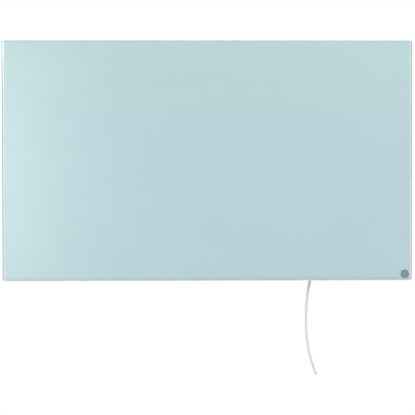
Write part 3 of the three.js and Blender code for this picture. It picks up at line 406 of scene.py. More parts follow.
# %% Cut ends of the three cores
CORE_RING, CORE_RADIUS, CORE_SHOWN, CORE_EDGE = 1.6, 1.2, 0.8, 0.12
COPPER_RADIUS, STRAND_RADIUS, COPPER_SHOWN = 0.65, 0.13, 0.5
SEAT_GAP = 0.3
DOUBLES_WITHIN = 1e-7  # metres
end_along = (cord_points[-1] - cord_points[-2]).normalized()
end_across = Vector((-end_along.z, 0, end_along.x))
end_deep = Vector((0, 1, 0))
end_turn = Matrix((end_across, end_deep, end_along)).transposed().to_4x4()


def turned(name, profile, sides):
    """A mesh turned about its own Z axis from (radius, z) points, open only where the profile is."""
    shape = bmesh.new()
    rings = []
    for radius, z in profile:
        reach = radius * MM
        angles = [2 * math.pi * side / sides for side in range(sides if radius else 1)]
        rings.append([
            shape.verts.new((reach * math.cos(a), reach * math.sin(a), z * MM)) for a in angles
        ])
    join_rings(shape, rings)
    return to_mesh(shape, name)


def smoothed(mesh, sharp_from):
    """Shades a mesh smooth, but for edges that bend by more than an angle in degrees."""
    mesh.shade_smooth()
    mesh.set_sharp_from_angle(angle=math.radians(sharp_from))
    return mesh


def join_rings(shape, rings):
    """Faces between each ring of points and the next. A ring of one point closes in a fan."""
    for near, far in zip(rings, rings[1:]):
        count = max(len(near), len(far))
        for i in range(count):
            j = (i + 1) % count
            a, b = near[i % len(near)], near[j % len(near)]
            c, d = far[j % len(far)], far[i % len(far)]
            corners = list(dict.fromkeys((a, b, c, d)))
            if len(corners) > 2:
                shape.faces.new(corners)


def to_mesh(shape, name):
    """Merges doubles, points the faces outwards, smooths the soft edges and returns a mesh."""
    bmesh.ops.remove_doubles(shape, verts=shape.verts, dist=DOUBLES_WITHIN)
    bmesh.ops.recalc_face_normals(shape, faces=shape.faces)
    mesh = bpy.data.meshes.new(name)
    shape.to_mesh(mesh)
    shape.free()
    return smoothed(mesh, 38)


def on_cord_end(mesh, out, pole):
    """Stands a mesh made along Z on the cord's end, on one pole's place in the ring of cores."""
    angle = math.pi / 2 + (pole - 1) * 2 * math.pi / 3
    side = -end_across * CORE_RING * math.cos(angle) + end_deep * CORE_RING * math.sin(angle)
    start = cord_points[-1] + (side + end_along * out) * MM
    mesh.transform(Matrix.Translation(start) @ end_turn)
    mesh.flip_normals()  # end_turn mirrors the mesh, which turns it inside out


cut_ends = []
for pole, name in enumerate(core_colours):
    core = turned(f"core_tip_{name}", [
        (0, 0), (CORE_RADIUS, 0), (CORE_RADIUS, CORE_SHOWN - CORE_EDGE),
        (CORE_RADIUS - CORE_EDGE, CORE_SHOWN), (0, CORE_SHOWN),
    ], sides=24)
    on_cord_end(core, SEAT_GAP, pole)
    tip = link(core.name, core, core_colours[name])
    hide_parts(f"core_end_{name}")
    bundle = run_tree(
        strand_tree, f"strands_{name}", bare_mesh("none", []), copper,
        Bundle_radius=COPPER_RADIUS * MM, Strand_radius=STRAND_RADIUS * MM,
        Strand_length=COPPER_SHOWN * MM,
    )
    on_cord_end(bundle, 2 * SEAT_GAP + CORE_SHOWN + COPPER_SHOWN / 2, pole)
    wires = link(bundle.name, bundle)
    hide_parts(f"copper_end_{name}")
    cut_ends += [tip, wires]
for piece in (supply_cord, *cut_ends):
    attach(piece, "heater")
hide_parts("cord")
print("cut ends:", [piece.name for piece in cut_ends])

# %% [markdown]
# ## Room and lights
# The heater hangs in a white studio. The camera, reflections and glass see the background as plain
# white, while the walls light the object more softly, so that the lamps can shape it. A wide lamp above
# the camera and one on the right light the face evenly, and one on the left lets it fade a little from
# that side. A tall card further off is mirrored at the glass's left edge. Two small lamps shape the
# cord, and two stand behind for the views of the back.

# %% World
world = bpy.data.worlds.new("studio")
bpy.context.scene.world = world
world.use_nodes = True
studio = NodeTree(world.node_tree)
seen = studio.node("ShaderNodeLightPath", output="Is Camera Ray")
for ray in ("Is Glossy Ray", "Is Transmission Ray"):
    seen = seen.math("MAXIMUM", studio.node("ShaderNodeLightPath", output=ray))
WALL_LIGHT = 0.147
strength = WALL_LIGHT + seen * (1 - WALL_LIGHT)
sky = studio.node("ShaderNodeBackground", {"Color": (1, 1, 1, 1), "Strength": strength})
studio.node("ShaderNodeOutputWorld", {"Surface": sky})
print("world made")


# %% Lamps
def lamp(name, place, towards, width, height, watts):
    """An area lamp at a place in metres, turned towards another place."""
    data = bpy.data.lights.new(name, "AREA")
    data.shape, data.size, data.size_y, data.energy = "RECTANGLE", width, height, watts
    made = link(name, data)
    made.location = place
    made.rotation_euler = (Vector(towards) - Vector(place)).to_track_quat("-Z", "Y").to_euler()


lamp("key_right", (2.3, -2.1, 1.4), (0, 0, -0.1), 1.4, 1.4, 36.5)
lamp("key_corner", (1.1, -1.0, 0.9), (0.3, 0, -0.1), 0.4, 0.4, 5)
lamp("fill_left", (-1.7, -1.4, -0.1), (-0.2, 0, -0.2), 0.9, 1.2, 13.7)
lamp("card_left", (-1.65, -5.2, -0.15), (0, 0, -0.2), 1.1, 1.8, 24)
lamp("top_front", (-0.6, -3.2, 2.2), (0, 0, -0.2), 2.0, 1.2, 41)
lamp("rim_right", (1.9, -0.15, -0.62), (0.25, 0, -0.6), 0.8, 0.8, 8)
lamp("back_fill", (-1.2, 2.6, 1.4), (0, 0, -0.2), 1.6, 1.6, 42)
lamp("back_key", (1.7, 1.3, 1.3), (0, 0, -0.2), 0.7, 0.7, 24)
print("lamps made")

# %% [markdown]
# ## Floor
# A pale floor lies well below the cord. The picture shows none, so its look has two parts: matt paint
# near the heater, which keeps its faint shadow, and the background's white further out, so that no view
# shows where the floor ends.

# %% Floor
FLOOR_Z, FLOOR_REACH, FLOOR_MIDDLE = -1050, 1300, -300
WHITER_FROM, WHITEST_FROM, WHITE_NEAR = 350, 1200, 0.8
SQUARE = ((-1, -1), (1, -1), (1, 1), (-1, 1))
floor_corners = [(FLOOR_REACH * x, FLOOR_MIDDLE + FLOOR_REACH * y, FLOOR_Z) for x, y in SQUARE]
floor_paint = Finish("studio_floor", centre=(0, FLOOR_MIDDLE, FLOOR_Z))
mottle = floor_paint.noise(30)
from_middle = floor_paint.vector("LENGTH", floor_paint.place, output="Value")
matt = floor_paint.node("ShaderNodeBsdfDiffuse", {
    "Color": floor_paint.mix(mottle, (0.88, 0.88, 0.88, 1), (0.92, 0.92, 0.92, 1)),
})
glow = floor_paint.node("ShaderNodeEmission", {"Color": (1, 1, 1, 1), "Strength": 1.0})
from_lens = floor_paint.node("ShaderNodeLightPath", output="Is Camera Ray")
far_out = from_middle.between(WHITER_FROM, WHITEST_FROM)
whitening = from_lens * (WHITE_NEAR + far_out * (1 - WHITE_NEAR))
both = floor_paint.node("ShaderNodeMixShader", {0: whitening, 1: matt, 2: glow})
floor_paint.node("ShaderNodeOutputMaterial", {"Surface": both})
floor_mesh = bare_mesh("floor", floor_corners, [(0, 1, 2, 3)])
link("floor", floor_mesh, floor_paint.material)
print("floor", 2 * FLOOR_REACH, "mm wide at", FLOOR_Z)

# %% [markdown]
# ## Glass with a coloured back
# The pane is 6 mm float glass, satin on its face and coated aqua on its rear. Real glass over a coat
# could be traced ray by ray, but with few samples that comes out blotchy. So the face over the coat is
# one surface: the coat's colour, under the soft mirror of the satin glass. It clouds a little, painted
# light turns it less blue towards the top, and painted shade greys it along the lower edge. Only the
# clear border beside it lets light through. The ground edge is matt, with painted shade that greys it
# at the sides and painted light that makes it paler above and below.

# %% Glass finishes
PANE_TOP, PANE_BOTTOM = 123, -463
PANE_CENTRE_Z = (PANE_TOP + PANE_BOTTOM) / 2
# Where painted light tints the coat towards the top, and where painted shade greys its lower edge, in
# mm.
PAINTED_TOP_LIGHT_FROM, PAINTED_TOP_LIGHT_FULL = PANE_TOP - 190, PANE_TOP - 8
PAINTED_SHADE_BAND_FULL, PAINTED_SHADE_BAND_ENDS = PANE_BOTTOM + 3, PANE_BOTTOM + 12


def coat_colour_and_painted_light(finish):
    """The aqua coat's colour, clouded, tinted less blue at the top by painted light and greyed at the
    lower edge by painted shade.
    """
    height = finish.axis("Z")
    tone = finish.mix(finish.noise(90, detail=3), paint(176, 203, 208), paint(180, 206, 211))
    # Painted light makes the coat less blue towards the top, and painted shade greys it along the lower
    # edge. The clouds are the coat's own.
    painted_top_light = height.between(PAINTED_TOP_LIGHT_FROM, PAINTED_TOP_LIGHT_FULL)
    painted_bottom_shade = 1 - height.between(PAINTED_SHADE_BAND_FULL, PAINTED_SHADE_BAND_ENDS)
    with_painted_top_light = finish.mix(painted_top_light, tone, paint(178, 206, 205))
    return finish.mix(painted_bottom_shade * 0.6, with_painted_top_light, paint(166, 184, 184))


face = Finish("satin_face")
etching = face.noise(140, detail=1)
fine_etching = face.noise(0.6)
satin_face = face.surface(
    # The face carries the coat's colour with its painted top light and lower-edge shade.
    Base_Color=coat_colour_and_painted_light(face),
    Roughness=0.22 + 0.04 * etching,
    Normal=face.bump(fine_etching, 0.004),
    IOR=1.5,
    Specular_IOR_Level=0.8,
)

clear = Finish("clear_glass")
clear_glass = clear.surface(
    Base_Color=paint(215, 231, 230),
    Roughness=0.28 + 0.06 * clear.noise(60),
    Transmission_Weight=1.0,
    IOR=1.5,
)

PANE_WIDTH = 1000
ground = Finish("ground_glass_edge")
grit = ground.noise(0.4)
# Painted shade greys the ground edge at the sides, and painted light makes the top and bottom ends
# paler, the bottom most. The grit is the glass's own.
painted_side_shade_mask = ground.axis("X").math("ABSOLUTE").between(PANE_WIDTH / 2 - 4, PANE_WIDTH / 2 - 1)
above = ground.axis("Z").between(PANE_BOTTOM + 4, PANE_BOTTOM + 12)
ends = ground.mix(above, paint(217, 228, 226), paint(200, 215, 213))
sides = ground.mix(grit, paint(164, 177, 177), paint(180, 192, 191))
ground_edge = ground.surface(
    Base_Color=ground.mix(painted_side_shade_mask, ends, sides),
    Roughness=0.5 + 0.2 * grit,
    Normal=ground.bump(grit, 0.04),
)

coat = Finish("aqua_backing")
drips = coat.noise(14, detail=3)
coat.surface(
    # The coat's sheet carries the same painted top light and lower-edge shade.
    Base_Color=coat_colour_and_painted_light(coat),
    Roughness=0.55 + 0.15 * drips,
    Normal=coat.bump(drips, 0.05),
)
print("finishes so far:", len(finished))

# %% [markdown]
# ## Shapes from outlines
# Many pieces here are flat with rounded corners: the pane, the tray, the box and its lid. Each is
# lofted from a stack of the same outline, with its own inset and depth at each level, so an edge can be
# rounded by a few levels. This keeps large faces flat, which a subdivision surface would not.

# %% Lofted plates
CORNER_STEPS, LEAST_CORNER = 8, 0.3


def rounded_outline(width, height, radius, centre):
    """Points (x, z) round a rectangle with rounded corners."""
    outline = []
    for quarter, (side_x, side_z) in enumerate(((1, 1), (-1, 1), (-1, -1), (1, -1))):
        for step in range(CORNER_STEPS + 1):
            angle = (quarter + step / CORNER_STEPS) * math.pi / 2
            outline.append((
                centre[0] + side_x * (width / 2 - radius) + radius * math.cos(angle),
                centre[1] + side_z * (height / 2 - radius) + radius * math.sin(angle),
            ))
    return outline


def rounded_edge(inset, depth, radius, start, end, steps=5):
    """Levels (inset, depth) along an arc from one angle to another, in degrees, about a centre."""
    angles = [math.radians(start + (end - start) * i / steps) for i in range(steps + 1)]
    return [(inset - radius * math.cos(a), depth + radius * math.sin(a)) for a in angles]


def ring_of(shape, width, height, radius, inset, depth, centre):
    """The rounded outline as points of the shape, drawn in by an inset, at a depth along Y."""
    corner = max(radius - inset, LEAST_CORNER)
    outline = rounded_outline(width - 2 * inset, height - 2 * inset, corner, centre)
    return [shape.verts.new((x * MM, depth * MM, z * MM)) for x, z in outline]


def even_shading(mesh):
    """Keeps large faces flat in the shading and lets only the rounded edges bend the light."""
    holder = link(mesh.name, mesh)
    holder.modifiers.new("even", "WEIGHTED_NORMAL").keep_sharp = True
    return frozen(holder)


def lofted(name, width, height, radius, levels, centre, first=None):
    """A closed plate through levels of (inset, depth), with a flat face on the first and last.

    first is the width, height and radius of one more outline, drawn on the first face.
    """
    shape = bmesh.new()
    rings = [ring_of(shape, width, height, radius, *level, centre) for level in levels]
    if first:
        rings.insert(0, ring_of(shape, *first, 0, levels[0][1], centre))
    join_rings(shape, rings)
    shape.faces.new(rings[0])
    shape.faces.new(rings[-1])
    return even_shading(to_mesh(shape, name))


def install(mesh, slot, *nodes, body="heater"):
    """Makes a piece in its slot's finish, which moves with a body and stands for CAD nodes."""
    piece = link(mesh.name, mesh, *(() if mesh.materials else (finished[slot],)))
    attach(piece, body)
    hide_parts(*nodes)
    return piece


print("lofts can be made now")

# %% Glass pane
PANE_HEIGHT, PANE_CORNER, PANE_EDGE = PANE_TOP - PANE_BOTTOM, 6, 1.6
PANE_FRONT, PANE_BACK = -56.8, -50.8
BACKING_SIDE, BACKING_END = 5, 2
pane_levels = (
    rounded_edge(PANE_EDGE, PANE_FRONT + PANE_EDGE, PANE_EDGE, -90, 0)
    + rounded_edge(PANE_EDGE, PANE_BACK - PANE_EDGE, PANE_EDGE, 0, 90)
)
coated = (PANE_WIDTH - 2 * BACKING_SIDE, PANE_HEIGHT - 2 * BACKING_END, PANE_CORNER - BACKING_END)
pane = lofted(
    "satin_pane", PANE_WIDTH, PANE_HEIGHT, PANE_CORNER, pane_levels, (0, PANE_CENTRE_Z), first=coated
)
for material in (satin_face, clear_glass, ground_edge):
    pane.materials.append(material)
for side in pane.polygons:  # over the coat lies one face with many corners
    flat = abs(side.normal.y) > 0.999
    over_coat = side.center.y < PANE_FRONT * MM + 1e-6 and len(side.vertices) > 4
    side.material_index = 0 if over_coat else 1 if flat else 2
install(pane, "clear_glass", "glass_pane")
print("pane faces:", len(pane.polygons))

# %% [markdown]
# ## Metals, paint and plastics
# Most of the heater's back is sheet metal and moulded plastic. Zinc plating shows faint crystals and
# rolling lines, powder coat has a skin like an orange's, and mouldings have a fine grain from the tool.
# Each is the same few patterns at another scale: noise for clouds and grain, and cells for crystals.

# %% Zinc, powder coat, and the turned metal of the disc
zinc = Finish("zinc_steel")
crystals = zinc.node("ShaderNodeSeparateXYZ", {0: zinc.cells(7, output="Color")}, output="X")
rolling = zinc.noise(1.5, stretch=(30, 1, 1))
shine = crystals * 0.55 + rolling * 0.45
zinc_steel = zinc.surface(
    Base_Color=zinc.mix(shine, paint(170, 175, 178), paint(205, 209, 211)),
    Metallic=1.0,
    Roughness=0.3 + 0.22 * shine,
    Normal=zinc.bump(rolling, 0.02),
)

powder = Finish("white_steel")
peel = powder.noise(1.6, detail=1)
dust = powder.noise(120, detail=4)
powder.surface(
    Base_Color=powder.mix(dust, paint(222, 224, 222), paint(236, 237, 235)),
    Roughness=0.4 + 0.12 * dust,
    Normal=powder.bump(peel, 0.06),
)

BADGE_CENTRE = (482.5, -57.1, -447)
RING_STARTS, RING_FULL = 6.9, 7.6
disc = Finish("badge_metal", centre=BADGE_CENTRE)
flattened = disc.vector("MULTIPLY", disc.place, (1, 0, 1))
from_axis = disc.vector("LENGTH", flattened, output="Value")
lathe_marks = disc.node(
    "ShaderNodeTexNoise", {"W": from_axis, "Scale": 7.0, "Detail": 3.0}, noise_dimensions="1D"
)
disc_face = disc.mix(lathe_marks, paint(115, 134, 134), paint(143, 161, 161))
disc.surface(
    Base_Color=disc.mix(
        from_axis.between(RING_STARTS, RING_FULL), disc_face, paint(107, 126, 126)
    ),
    Metallic=1.0,
    Roughness=0.26 + 0.16 * lathe_marks,
    Normal=disc.bump(lathe_marks, 0.02),
)
print("finishes so far:", len(finished))


# %% Mouldings, rubber and silicone
def moulded(name, colour, roughness, grain_size=0.35, grain_depth=0.02, cloudiness=0.05):
    """A moulded finish: faint clouds in the colour and a fine grain from the tool."""
    made = Finish(name)
    clouds, tool_grain = made.noise(25, detail=3), made.noise(grain_size, detail=1)
    darker = tuple(c * (1 - cloudiness) for c in colour[:3]) + (1,)
    return made.surface(
        Base_Color=made.mix(clouds, darker, colour),
        Roughness=roughness + 0.12 * clouds,
        Normal=made.bump(tool_grain, grain_depth),
    )


white_moulding = moulded("white_moulding", paint(231, 232, 229), 0.4)
moulded("cream_moulding", paint(238, 230, 205), 0.42)
white_rubber = moulded("white_rubber", paint(222, 223, 221), 0.55, 0.5, 0.03)
moulded("silicone", paint(214, 216, 212), 0.45, 4, 0.2, 0.1)
moulded("dark_moulding", paint(44, 37, 34), 0.38, 1.2, 0.03, 0.4)
print("finishes so far:", len(finished))

# %% [markdown]
# ## The layers inside
# The heating film, foil and board are sealed in the tray, so no view shows them. They are finished all
# the same, because someone may open the model: the film has bars of carbon between its bus bars, the
# foil is crinkled, and the board is pressed mineral fibre with small pits.

# %% Film, foil and board
carbon = Finish("heating_film")
BAR_PITCH = 15
ripple = (carbon.axis("Z") * (2 * math.pi / BAR_PITCH)).math("SINE")
bars = ripple.between(-0.5, -0.35)
carbon_tone = carbon.mix(carbon.noise(1.5), paint(34, 31, 29), paint(52, 48, 44))
carbon.surface(
    Base_Color=carbon.mix(bars, paint(150, 96, 40), carbon_tone),
    Roughness=0.35 + 0.25 * bars,
    Normal=carbon.bump(bars, 0.05),
)

crinkled = Finish("foil")
folds = crinkled.cells(22, "SMOOTH_F1")
creases = crinkled.noise(8, detail=4)
crinkled.surface(
    Base_Color=crinkled.mix(creases, paint(214, 217, 219), paint(236, 238, 239)),
    Metallic=1.0,
    Roughness=0.16 + 0.16 * creases,
    Normal=crinkled.bump(folds * 0.6 + creases * 0.4, 0.9),
)

pressed = Finish("board")
fibres = pressed.noise(1.4, detail=3, stretch=(6, 1, 1))
pits = pressed.cells(5).between(0.0, 0.35)
pressed.surface(
    Base_Color=pressed.mix(fibres, paint(196, 186, 150), paint(226, 219, 192)),
    Roughness=0.86 + 0.1 * fibres,
    Normal=pressed.bump(fibres * 0.4 + pits * 0.6, 0.3),
)
print("finishes so far:", len(finished))

# %% [markdown]
# ## Corner disc
# A small turned disc sits in the lower right corner of the glass. It is made on a lathe, and so is its
# mesh: one profile from the axis to the rim, turned round. A groove lies inside the raised rim, and
# from there outwards the metal is a little darker.

# %% Corner disc
FACE_FRONT = Matrix.Rotation(math.pi / 2, 4, "X")


def placed(mesh, turn, place):
    """Turns a mesh made round the Z axis and moves it to its place in millimetres."""
    mesh.transform(Matrix.Translation(Vector(place) * MM) @ turn)
    return mesh


badge = turned("corner_disc", [
    (0, 0), (9.6, 0), (9.9, 0.1), (10, 0.35), (10, 0.8), (9.9, 1.05), (9.65, 1.18), (9.3, 1.2),
    (9.0, 1.12), (8.8, 0.92), (8.6, 0.8), (7.7, 0.76), (7.5, 0.86), (7.2, 0.92), (3.6, 0.98), (0, 1),
], sides=64)
badge = even_shading(placed(badge, FACE_FRONT, BADGE_CENTRE))
badge = install(badge, "badge_metal", "badge_disc")
print("disc box", [round(c / MM, 1) for c in badge.dimensions])

# %% [markdown]
# ## Coloured backing's sheet
# The coat is thin, so its own sheet only shows from behind, outside the tray, and as the colour's edge
# inside the clear border. It is lofted like the pane, with a slightly soft edge.

# %% Backing sheet
BACKING_FRONT, BACKING_BACK = -50.5, -50.1
SOFT = 0.1
backing_mesh = lofted(
    "coat_sheet", *coated,
    [(SOFT, BACKING_FRONT), (0, BACKING_FRONT + SOFT), (0, BACKING_BACK - SOFT), (SOFT, BACKING_BACK)],
    (0, PANE_CENTRE_Z),
)
install(backing_mesh, "aqua_backing", "backing_film")
print("backing", coated[0], "by", coated[1])

# %% [markdown]
# ## Tray
# The tray is one sheet of 1.2 mm steel, deep drawn: a flange bonded to the glass, walls with a bend at
# each end, and a back with three pressed beads that stiffen it. A sheet has the same thickness
# everywhere, so the outer skin is built first and Solidify gives it the thickness. The flat back round
# the beads is filled with triangles, which leaves it exactly flat.

# %% Tray skin
TRAY_WIDTH, TRAY_HEIGHT, TRAY_CORNER, TRAY_SHEET = 940, 526, 8, 1.2
TRAY_FRONT, TRAY_BACK, FLANGE_WIDTH = -48, -28, 14
BEAD_LENGTH, BEAD_WIDTH, BEAD_PLACES = 700, 16, (-60, 0, 60)
BEAD_SLOPE = ((0, 0), (0.6, 0.1), (1.3, 0.5), (2.2, 1.1), (3, 1.4), (3.9, 1.5))
FOLD_RADIUS, RIM_RADIUS = 1.5, 2.5


def ring_edges(shape, ring):
    pairs = zip(ring, ring[1:] + ring[:1])
    return [shape.edges.get(pair) or shape.edges.new(pair) for pair in pairs]


def tray_skin():
    """The tray's outer skin, from the flange over the walls to the back with its beads."""
    shape = bmesh.new()
    centre = (0, PANE_CENTRE_Z)
    flange_back = TRAY_FRONT + TRAY_SHEET
    flange_size = TRAY_WIDTH + 2 * FLANGE_WIDTH, TRAY_HEIGHT + 2 * FLANGE_WIDTH
    flange = ring_of(shape, *flange_size, TRAY_CORNER, 0, flange_back, centre)
    levels = (
        rounded_edge(-FOLD_RADIUS, flange_back + FOLD_RADIUS, FOLD_RADIUS, -90, -180)
        + rounded_edge(RIM_RADIUS, TRAY_BACK - RIM_RADIUS, RIM_RADIUS, 0, 90)
    )
    walls = [ring_of(shape, TRAY_WIDTH, TRAY_HEIGHT, TRAY_CORNER, *level, centre) for level in levels]
    join_rings(shape, [flange, *walls])
    edges = ring_edges(shape, walls[-1])
    for z in BEAD_PLACES:
        rings = [
            ring_of(
                shape, BEAD_LENGTH, BEAD_WIDTH, BEAD_WIDTH / 2 - 0.1, inset, TRAY_BACK + rise,
                (0, PANE_CENTRE_Z + z),
            )
            for inset, rise in BEAD_SLOPE
        ]
        join_rings(shape, rings)
        shape.faces.new(rings[-1])
        edges += ring_edges(shape, rings[0])
    bmesh.ops.triangle_fill(shape, use_beauty=True, edges=edges)
    return to_mesh(shape, "pressed_tray")


skin = tray_skin()
back = [part for part in skin.polygons if part.center.y > (TRAY_BACK - 0.1) * MM]
if sum(part.normal.y * part.area for part in back) < 0:
    skin.flip_normals()
holder = link("pressed_tray", skin)
thickness = holder.modifiers.new("sheet", "SOLIDIFY")
thickness.thickness, thickness.offset, thickness.use_even_offset = TRAY_SHEET * MM, -1, True
tray = install(even_shading(frozen(holder)), "white_steel", "back_tray")
print("tray faces:", len(tray.data.polygons), "size", [round(c / MM, 1) for c in tray.dimensions])

# %% [markdown]
# ## Folded sheet with slots
# The wall rails and the hangers are folded from strip. Their section follows a rule: straight lines
# with a bend of the same radius at each corner, and the sheet's thickness on both sides. It is drawn
# out along X. The slots repeat, so a tree puts a cutter on every slot's centre and takes them away from
# the strip, and a bevel takes off the sharp edges, as tumbling does on the real pieces.

# %% Folded section
BEND_INNER_RADIUS, BEND_STEPS = 0.6, 6


def folded_section(corners, sheet):
    """Outline (y, z) of a sheet folded at right angles along a centre line."""
    points = [Vector(corner) for corner in corners]
    runs = [(b - a).normalized() for a, b in zip(points, points[1:])]
    radius = BEND_INNER_RADIUS + sheet / 2
    left, other = [], []

    def add_pair(point, along):
        normal = Vector((-along.y, along.x)) * sheet / 2
        left.append(point + normal)
        other.insert(0, point - normal)

    add_pair(points[0], runs[0])
    for corner, before, after in zip(points[1:], runs, runs[1:]):
        turn = math.copysign(1, before.cross(after))
        start = corner - before * radius
        centre = start + Vector((-before.y, before.x)) * turn * radius
        for step in range(BEND_STEPS + 1):
            swing = Matrix.Rotation(turn * step / BEND_STEPS * math.pi / 2, 2)
            add_pair(centre + swing @ (start - centre), swing @ before)
    add_pair(points[-1], runs[-1])
    return left + other


def drawn_out(name, section, x, length):
    """A section (y, z) drawn out along X, with a flat face at each end."""
    shape = bmesh.new()
    ends = [
        [shape.verts.new((side * MM, y * MM, z * MM)) for y, z in section]
        for side in (x - length / 2, x + length / 2)
    ]
    join_rings(shape, ends)
    for end in ends:
        shape.faces.new(end)
    return to_mesh(shape, name)


print("sections can be folded now")

# %% Slot tree
slot_tree = GeometryTree("slots")
slot_length, slot_width = slot_tree.input("Slot length"), slot_tree.input("Slot width")
CUTTER_DEPTH = 20
bar_sizes = {"Vertices": 24, "Radius": slot_width * 0.5, "Depth": CUTTER_DEPTH * MM}
round_bar = slot_tree.node("GeometryNodeMeshCylinder", bar_sizes)
turned_bars = []
for side in (-0.5, 0.5):
    reach = (slot_length - slot_width) * side
    shift = slot_tree.node("ShaderNodeCombineXYZ", {"X": reach})
    turned_bars.append(slot_tree.node(
        "GeometryNodeTransform",
        {"Geometry": round_bar, "Translation": shift, "Rotation": (math.pi / 2, 0, 0)},
    ))
cutter = slot_tree.node("GeometryNodeConvexHull", {0: slot_tree.join(*turned_bars)})
cutters = slot_tree.on_points(slot_tree.source, cutter)
real_cutters = slot_tree.node("GeometryNodeRealizeInstances", {0: cutters})
slot_tree.finish(slot_tree.node(
    "GeometryNodeMeshBoolean", {"Mesh 1": slot_tree.shape_of("Strip"), "Mesh 2": real_cutters},
    operation="DIFFERENCE", solver="EXACT",
))
EDGE_TAKEN_OFF = 0.22


def pierced(name, strip_mesh, centres, length, width):
    """The strip with slots cut at (x, y, z) centres, its sharp edges taken off."""
    whole = link("uncut", strip_mesh)
    cut = run_tree(
        slot_tree, name, bare_mesh("slot_centres", centres), zinc_steel,
        Slot_length=length * MM, Slot_width=width * MM, Strip=whole,
    )
    bpy.data.objects.remove(whole)
    holder = link(name, cut)
    edge = holder.modifiers.new("tumbled", "BEVEL")
    edge.width, edge.segments, edge.limit_method = EDGE_TAKEN_OFF * MM, 2, "ANGLE"
    edge.angle_limit = math.radians(40)
    return even_shading(smoothed(frozen(holder), 60))


print("slots can be cut now")

# %% Wall rails
RAIL_LENGTH, RAIL_SHEET, RAIL_FACE, RAIL_DEPTH, RAIL_LIP_TOP = 620, 1.5, 40, 13.5, 34
SLOT_LENGTH, SLOT_WIDTH, SLOT_PLACES = 14, 5.5, (-280, -120, 120, 280)
LOWER_RAIL_Z = -320
rail_face_y, rail_lip_y = -RAIL_SHEET / 2, RAIL_SHEET / 2 - RAIL_DEPTH
rail_shelf_z = (RAIL_FACE - RAIL_SHEET) / 2
rail_section = folded_section([
    (rail_face_y, -RAIL_FACE / 2), (rail_face_y, rail_shelf_z),
    (rail_lip_y, rail_shelf_z), (rail_lip_y, RAIL_LIP_TOP),
], RAIL_SHEET)
for name, height in (("upper", 0), ("lower", LOWER_RAIL_Z)):
    centres = [(x, 0, height) for x in SLOT_PLACES]
    strip_mesh = drawn_out("strip", [(y, z + height) for y, z in rail_section], 0, RAIL_LENGTH)
    rail = pierced(f"rail_{name}", strip_mesh, centres, SLOT_LENGTH, SLOT_WIDTH)
    install(rail, "zinc_steel", f"wall_rail_{name}", body="wall_bracket")
    print(rail.name, len(rail.polygons), "faces")

# %% Hangers
HANGER_WIDTH, HANGER_SHEET, HANGER_FLANGE, HANGER_DROP = 60, 1.5, 36, 10
HANGER_SCREW_SPACING, SCREWS_ABOVE_MIDDLE = 36, 1
HANGER_HOLE = (4.6, 4.59)  # round, but for a hair that keeps the cutter's two bars apart
HANGER_PLAY, LOWER_HANGER_CLEARANCE = 0.5, 0.8
hanger_flange_y = TRAY_BACK + SEAT_GAP + HANGER_SHEET / 2
hanger_lip_y = -(RAIL_DEPTH - RAIL_SHEET - HANGER_PLAY - HANGER_SHEET / 2)
hanger_undersides = {
    "upper": RAIL_LIP_TOP + SEAT_GAP,
    "lower": LOWER_RAIL_Z + RAIL_LIP_TOP + LOWER_HANGER_CLEARANCE,
}
screw_places = []
for level, underside in hanger_undersides.items():
    web = underside + HANGER_SHEET / 2
    hanger_section = folded_section([
        (hanger_flange_y, underside + HANGER_FLANGE), (hanger_flange_y, web), (hanger_lip_y, web),
        (hanger_lip_y, underside - HANGER_DROP),
    ], HANGER_SHEET)
    screw_z = underside + (HANGER_FLANGE + HANGER_SHEET) / 2 + SCREWS_ABOVE_MIDDLE
    for side, x in (("left", -230), ("right", 230)):
        holes = [(x + s * HANGER_SCREW_SPACING / 2, hanger_flange_y, screw_z) for s in (-1, 1)]
        strip_mesh = drawn_out("strip", hanger_section, x, HANGER_WIDTH)
        hanger = pierced(f"bracket_{level}_{side}", strip_mesh, holes, *HANGER_HOLE)
        install(hanger, "zinc_steel", f"hanger_{level}_{side}")
        screw_places += holes
print("hangers made, with", len(screw_places), "screw holes")

# %% [markdown]
# ## Screws
# A pan head with a cross recess is a turned shape with a tapered cross pressed into it. One screw is
# made, and a tree puts it on every screw's place, each turned by its own random angle, since no one
# lines up screw heads. The seed is fixed, so they come out the same every time.

# %% One screw
FACE_BACK = Matrix.Rotation(-math.pi / 2, 4, "X")


def cross_cutter(arm, half_width, floor, top):
    """A cross whose arms narrow towards the floor."""
    shape = bmesh.new()
    for along_x in (True, False):
        ends = []
        for z, grow in ((floor, 0.55), (top, 1.0)):
            sides = [(x * arm * grow, y * half_width * grow) for x, y in SQUARE]
            corners = [(a, b, z) if along_x else (-b, a, z) for a, b in sides]
            ends.append([shape.verts.new(Vector(corner) * MM) for corner in corners])
        shape.faces.new(ends[0][::-1])
        shape.faces.new(ends[1])
        join_rings(shape, ends)
    mesh = bpy.data.meshes.new("cross")
    shape.to_mesh(mesh)
    shape.free()
    return mesh


def pan_head_screw(name, head, height, shank, length):
    """A screw whose head stands on y = 0 and faces +Y. head and shank are radii."""
    body = turned(name, [
        (0, -length), (shank * 0.6, -length), (shank, shank * 0.6 - length), (shank, 0),
        (head * 0.96, 0), (head, 0.1), (head, height * 0.36), (head * 0.95, height * 0.58),
        (head * 0.84, height * 0.78), (head * 0.62, height * 0.93), (head * 0.3, height * 0.99),
        (0, height),
    ], sides=36)
    cross = link("cross", cross_cutter(head * 0.58, head * 0.13, height * 0.32, height * 1.2))
    holder = link(name, body)
    recess = holder.modifiers.new("recess", "BOOLEAN")
    recess.operation, recess.solver = "DIFFERENCE", "EXACT"
    recess.object, recess.use_self = cross, True
    mesh = smoothed(frozen(holder), 40)
    bpy.data.objects.remove(cross)
    mesh.transform(FACE_BACK)
    return mesh


